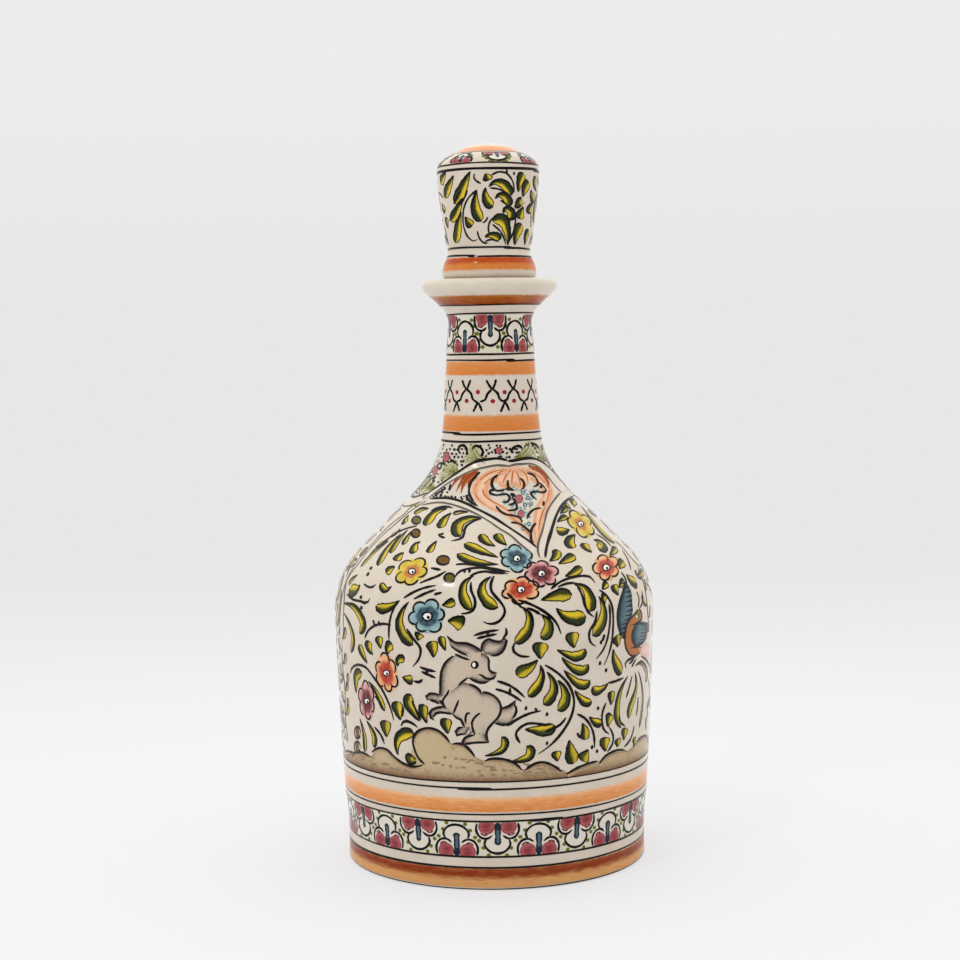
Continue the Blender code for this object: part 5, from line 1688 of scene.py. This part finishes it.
class CARAFE_OT_shoulder(bpy.types.Operator):
    """Paints the pointed panel with its palmette, and the garland round the shoulder."""

    bl_idname = "carafe.shoulder"
    bl_label = "Shoulder panel and garland"

    def execute(self, context):
        """The palmette's washes, its scrolls and dots, then the borders and the garland above."""
        bottle, _ = outlines()
        black, amber, red, salmon, sienna = tints("black", "amber", "red", "salmon", "sienna")
        teal, sky, fur, ribbon = tints("teal", "sky", "fur", "glaze")
        paint = Painting(bottle, 41)
        for upper, lower in PALMETTE_WASHES:
            stripes = 0.66 + 0.26 * np.sin(np.linspace(0.6, 15.0, 15))[:, None]
            paint.wash(upper, lower, mixed(salmon, amber, 0.75), salmon, lift=0.04, rows=15, body=stripes, rim=0.25)
        for points in PALMETTE_STREAKS:
            paint.shading(points, 1.1, mixed(sienna, amber, 0.55), salmon)
        for points in PALMETTE_FLAMES:
            spine = np.reshape(points, (-1, 2))[::-1]
            paint.leaf(spine, 4.5, sienna, mixed(amber, sienna, 0.4), lift=0.06, rim=0.0, columns=5)
        ink = mixed(tint("ink"), black, 0.3)
        for area, gap, size, pigment in (
            (PANEL_CORNER, 3.8, 1.15, black), (PANEL_HEART, 4.4, 1.3, mixed(teal, sky, 0.7)),
            (GARLAND_AREA, 4.0, 1.3, ink),
        ):
            paint.sprinkle(area, gap, size, pigment)
        pigments = {"red": red, "black": black, "teal": sky}
        for x, y, half_width, half_height, tilt, name in PANEL_SPOTS + GARLAND_SPOTS:
            pigment = pigments[name]
            edge = mixed(red, tint("blush"), 0.35) if name == "red" else pigment
            paint.blot((x, y), (half_width, half_height), pigment, edge, tilt=tilt, side=7, lift=0.075, rim=0.25)
        paint.lines(PALMETTE_SCROLLS, 0.72, black, step=2.5, lift=0.085, taper=0.15)
        for upper, lower in RIBBONS:
            paint.wash(upper, lower, ribbon, ribbon, lift=0.092, columns=33)
            paint.drawn(upper, 0.78, black, step=3.0, lift=0.112, taper=0.08)
            paint.drawn(lower, 0.55, mixed(black, fur, 0.2), step=3.0, lift=0.112, taper=0.08)
        for x, y, *shape in GARLAND_FANS:
            paint.fan(paint.seen, PICTURE_MM, np.array((x, y), float), *shape)
        paint.lines(GARLAND_HOOKS, 0.72, black, step=2.5, lift=0.088, taper=0.2)
        self.hem(paint, ink)
        paint.lay("bottle_shoulder", copies=FRONT_AND_BACK)
        return {"FINISHED"}

    def hem(self, paint, ink):
        """The garland at the side: a pale hem hung between the panels' corners, and dots, fans and spots over it."""
        black, fur, glaze, red, blush = tints("black", "fur", "glaze", "red", "blush")
        upper, lower = (curve(edge, 33) * UNROLLED for edge in HEM)
        paint.sheet(np.linspace(lower, upper, 5), 0.094, glaze, glaze)
        paint.stroke(upper, 0.78, black, lift=0.114, taper=0.08)
        paint.stroke(lower, 0.55, mixed(black, fur, 0.2), lift=0.114, taper=0.08)
        gap = 4.0 * PICTURE_MM
        for rise in np.arange(HEM_RISES[0], HEM_RISES[-1], gap):
            left, right = (np.interp(rise, HEM_RISES, turns) for turns in HEM_TURNS)
            step = math.degrees(gap * MM / paint.radius(rise * MM))
            for turn in np.arange(left, right, step) + paint.chance.uniform(0.0, 0.5) * step:
                if rise > np.interp(turn, *np.transpose(HEM[0])) + 1.0:
                    place, size = paint.chance.uniform(-0.3, 0.3, 2) * gap, paint.chance.uniform(0.4, 0.66, 2)
                    paint.spot(math.radians(turn), rise * MM, place, size, ink, ink, side=4, lift=0.07)
        for turn, rise in np.array(HEM_SPOTS) * UNROLLED:
            paint.spot(turn, rise, (0.0, 0.0), (1.4, 1.9), red, mixed(red, blush, 0.35), lift=0.098, rim=0.25)
        for turn, rise, *shape in HEM_FANS:
            place = math.radians(turn), rise * MM
            paint.fan(lambda points: paint.placed(*place, points * MM), 1.0, np.zeros(2), *shape)
            for side in (-1.0, 1.0):
                hook = (side * 5.5, 3.0, side * 6.6, 6.2, side * 4.4, 8.0, side * 2.6, 6.4)
                paint.line(*place, hook, 0.7, black, lift=0.1, taper=0.2)


class CARAFE_OT_head(bpy.types.Operator):
    """Paints the stopper: rings, bands, the crown's lunettes and its leaves."""

    bl_idname = "carafe.head"
    bl_label = "Stopper painting"

    def execute(self, context):
        """Bands and rings all round, leaves in front and behind."""
        _, head = outlines()
        black, green, yellow, olive = tints("black", "green", "yellow", "olive")
        bands = Painting(head, 51)
        for row, width, start in HEAD_RING_ROWS:
            bands.ring(bands.seen([[HEAD_MIDDLE, row]])[0, 1], width, black, start)
        for top, foot, deep, pale, upper, lower, profile in HEAD_BAND_ROWS:
            ends = bands.seen([[HEAD_MIDDLE, foot], [HEAD_MIDDLE, top]])[:, 1]
            bands.band(*ends, tint(deep), tint(pale), upper=upper, lower=lower, profile=profile)
        crown_top, crown_foot = bands.seen([[HEAD_MIDDLE, row] for row in CROWN_ROWS])[:, 1]
        room = crown_top - crown_foot
        lunettes(bands, crown_foot, room, 4, 0.2, 0.62, room / (13.4 * MM))
        bands.lay("stopper_bands", "banded_oxides", "stopper")
        paint = Painting(head, 52)
        for breadth, *spine in STOPPER_LEAVES:
            dark = mixed(green, olive, paint.chance.uniform(0.0, 0.2))
            paint.leaf(spine, breadth, dark, yellow, rim=0.55, share=-0.12)
        for x, y in np.reshape(STOPPER_DOTS, (-1, 2)):
            paint.drawn((x - 1.0, y + 0.3, x + 1.0, y - 0.3), 0.8, black)
        paint.lines(STOPPER_STEMS, 0.5, black, step=2.5)
        paint.lay("stopper_leaves", body="stopper", copies=ROUND_HEAD)
        return {"FINISHED"}


class CARAFE_OT_studio(bpy.types.Operator):
    """Sets up the paper floor, the light tent and the camera."""

    bl_idname = "carafe.studio"
    bl_label = "Studio"

    def execute(self, context):
        """Floor, world, softbox and camera."""
        studio = context.scene.carafe_studio
        self.floor()
        self.tent(context.scene, studio)
        self.softbox(studio)
        self.camera(context.scene)
        context.scene.view_settings.view_transform = "Standard"
        return {"FINISHED"}

    def floor(self):
        """The paper: a flat grid that grows wider spaced towards its far edges."""
        share = np.linspace(-1.0, 1.0, 25)
        place = FLOOR_REACH * np.sign(share) * np.abs(share) ** 2.5
        x, y = np.meshgrid(place, place)
        number = np.arange(x.size).reshape(x.shape)
        quads = np.stack([number[:-1, :-1], number[:-1, 1:], number[1:, 1:], number[1:, :-1]], -1).reshape(-1, 4)
        mesh = bpy.data.meshes.new("studio_floor")
        mesh.from_pydata(np.stack([x, y, 0.0 * x], -1).reshape(-1, 3).tolist(), [], quads.tolist())
        mesh.materials.append(studio_paper())
        floor = bpy.data.objects.new("studio_floor", mesh)
        bpy.context.scene.collection.objects.link(floor)

    def tent(self, scene, studio):
        """A white tent: dim on the camera's side, bright at the sides, behind and above.

        The camera itself sees plain paper, a little paler higher up.
        """
        world = bpy.data.worlds.new("light_tent")
        scene.world = world
        world.use_nodes = True
        tree = world.node_tree
        tree.nodes.clear()
        way = add(tree, "SeparateXYZ", [add(tree, "TexCoord", output="Generated")]).node.outputs
        side = add(tree, "MapRange", (way["Y"], -0.9, 0.2, 0.5, 1.4), **SMOOTH)
        above = add(tree, "MapRange", (way["Z"], 0.0, 1.0, 0.0, 1.6))
        both = add(tree, "Math", (side, above), operation="ADD")
        strength = add(tree, "Math", (both, studio.surround), operation="MULTIPLY")
        light = add(tree, "Background", (linear("FFFEFC"), strength))
        higher = add(tree, "MapRange", (way["Z"], 0.02, 0.14))
        tone = add(tree, "Mix", {0: higher, 6: studio.paper_far, 7: studio.paper_high}, 2, **COLOURED)
        plain = add(tree, "Background", (tone, 1.0))
        ray = add(tree, "LightPath", output="Is Camera Ray")
        add(tree, "OutputWorld", [add(tree, "MixShader", (ray, light, plain))])

    def softbox(self, studio):
        """One small softbox at the upper left: it shows in the glaze as a soft window."""
        lamp = bpy.data.lights.new("left_softbox", "AREA")
        lamp.shape = "RECTANGLE"
        lamp.size, lamp.size_y = SOFTBOX_SIZE
        lamp.energy = studio.softbox
        lit = bpy.data.objects.new("left_softbox", lamp)
        lit.location = SOFTBOX_PLACE
        aim = Vector(SOFTBOX_AIM) - lit.location
        lit.rotation_euler = aim.to_track_quat("-Z", "Y").to_euler()
        bpy.context.scene.collection.objects.link(lit)

    def camera(self, scene):
        """The camera at the picture's own place, its lens worked out from the focal length in pixels."""
        lens = bpy.data.cameras.new("photo_camera")
        lens.sensor_width = SENSOR_WIDTH
        lens.lens = FOCAL_PIXELS * SENSOR_WIDTH / PICTURE_SIDE
        camera = bpy.data.objects.new("photo_camera", lens)
        forward, up = Vector(CAMERA_FORWARD).normalized(), Vector(CAMERA_UP)
        right = forward.cross(up).normalized()
        up = right.cross(forward)
        turn = Matrix((right, up, -forward)).transposed().to_4x4()
        camera.matrix_world = Matrix.Translation(CAMERA_PLACE) @ turn
        scene.collection.objects.link(camera)
        scene.camera = camera


class CARAFE_PT_panel(bpy.types.Panel):
    """Lists the carafe's pieces in the sidebar."""

    bl_label = "Painted carafe"
    bl_idname = "CARAFE_PT_panel"
    bl_space_type = "VIEW_3D"
    bl_region_type = "UI"
    bl_category = "Carafe"

    def draw(self, context):
        """One button for each piece, then the sizes, colours and studio."""
        for operator in OPERATORS:
            self.layout.operator(operator.bl_idname)
        for group in (getattr(context.scene, name) for name in GROUPS):
            column = self.layout.column()
            for name in group.bl_rna.properties.keys():
                if name not in ("rna_type", "name"):
                    column.prop(group, name)


OPERATORS = (
    CARAFE_OT_bottle, CARAFE_OT_stopper, CARAFE_OT_bands, CARAFE_OT_field, CARAFE_OT_mounds, CARAFE_OT_animals,
    CARAFE_OT_shoulder, CARAFE_OT_head, CARAFE_OT_studio,
)
GROUPS = {"carafe_sizes": CarafeSizes, "carafe_colours": CarafeColours, "carafe_studio": CarafeStudio}
KINDS = (*GROUPS.values(), *OPERATORS, CARAFE_PT_panel)


def register():
    """Makes the operators, the panel and the properties known to Blender."""
    for kind in KINDS:
        bpy.utils.register_class(kind)
    for name, group in GROUPS.items():
        setattr(bpy.types.Scene, name, bpy.props.PointerProperty(type=group))


def unregister():
    """Takes them away again."""
    for name in GROUPS:
        delattr(bpy.types.Scene, name)
    for kind in reversed(KINDS):
        bpy.utils.unregister_class(kind)


def main():
    """Makes every piece in order."""
    register()
    for operator in OPERATORS:
        getattr(bpy.ops.carafe, operator.bl_idname.split(".")[1])()


if __name__ == "__main__":
    main()
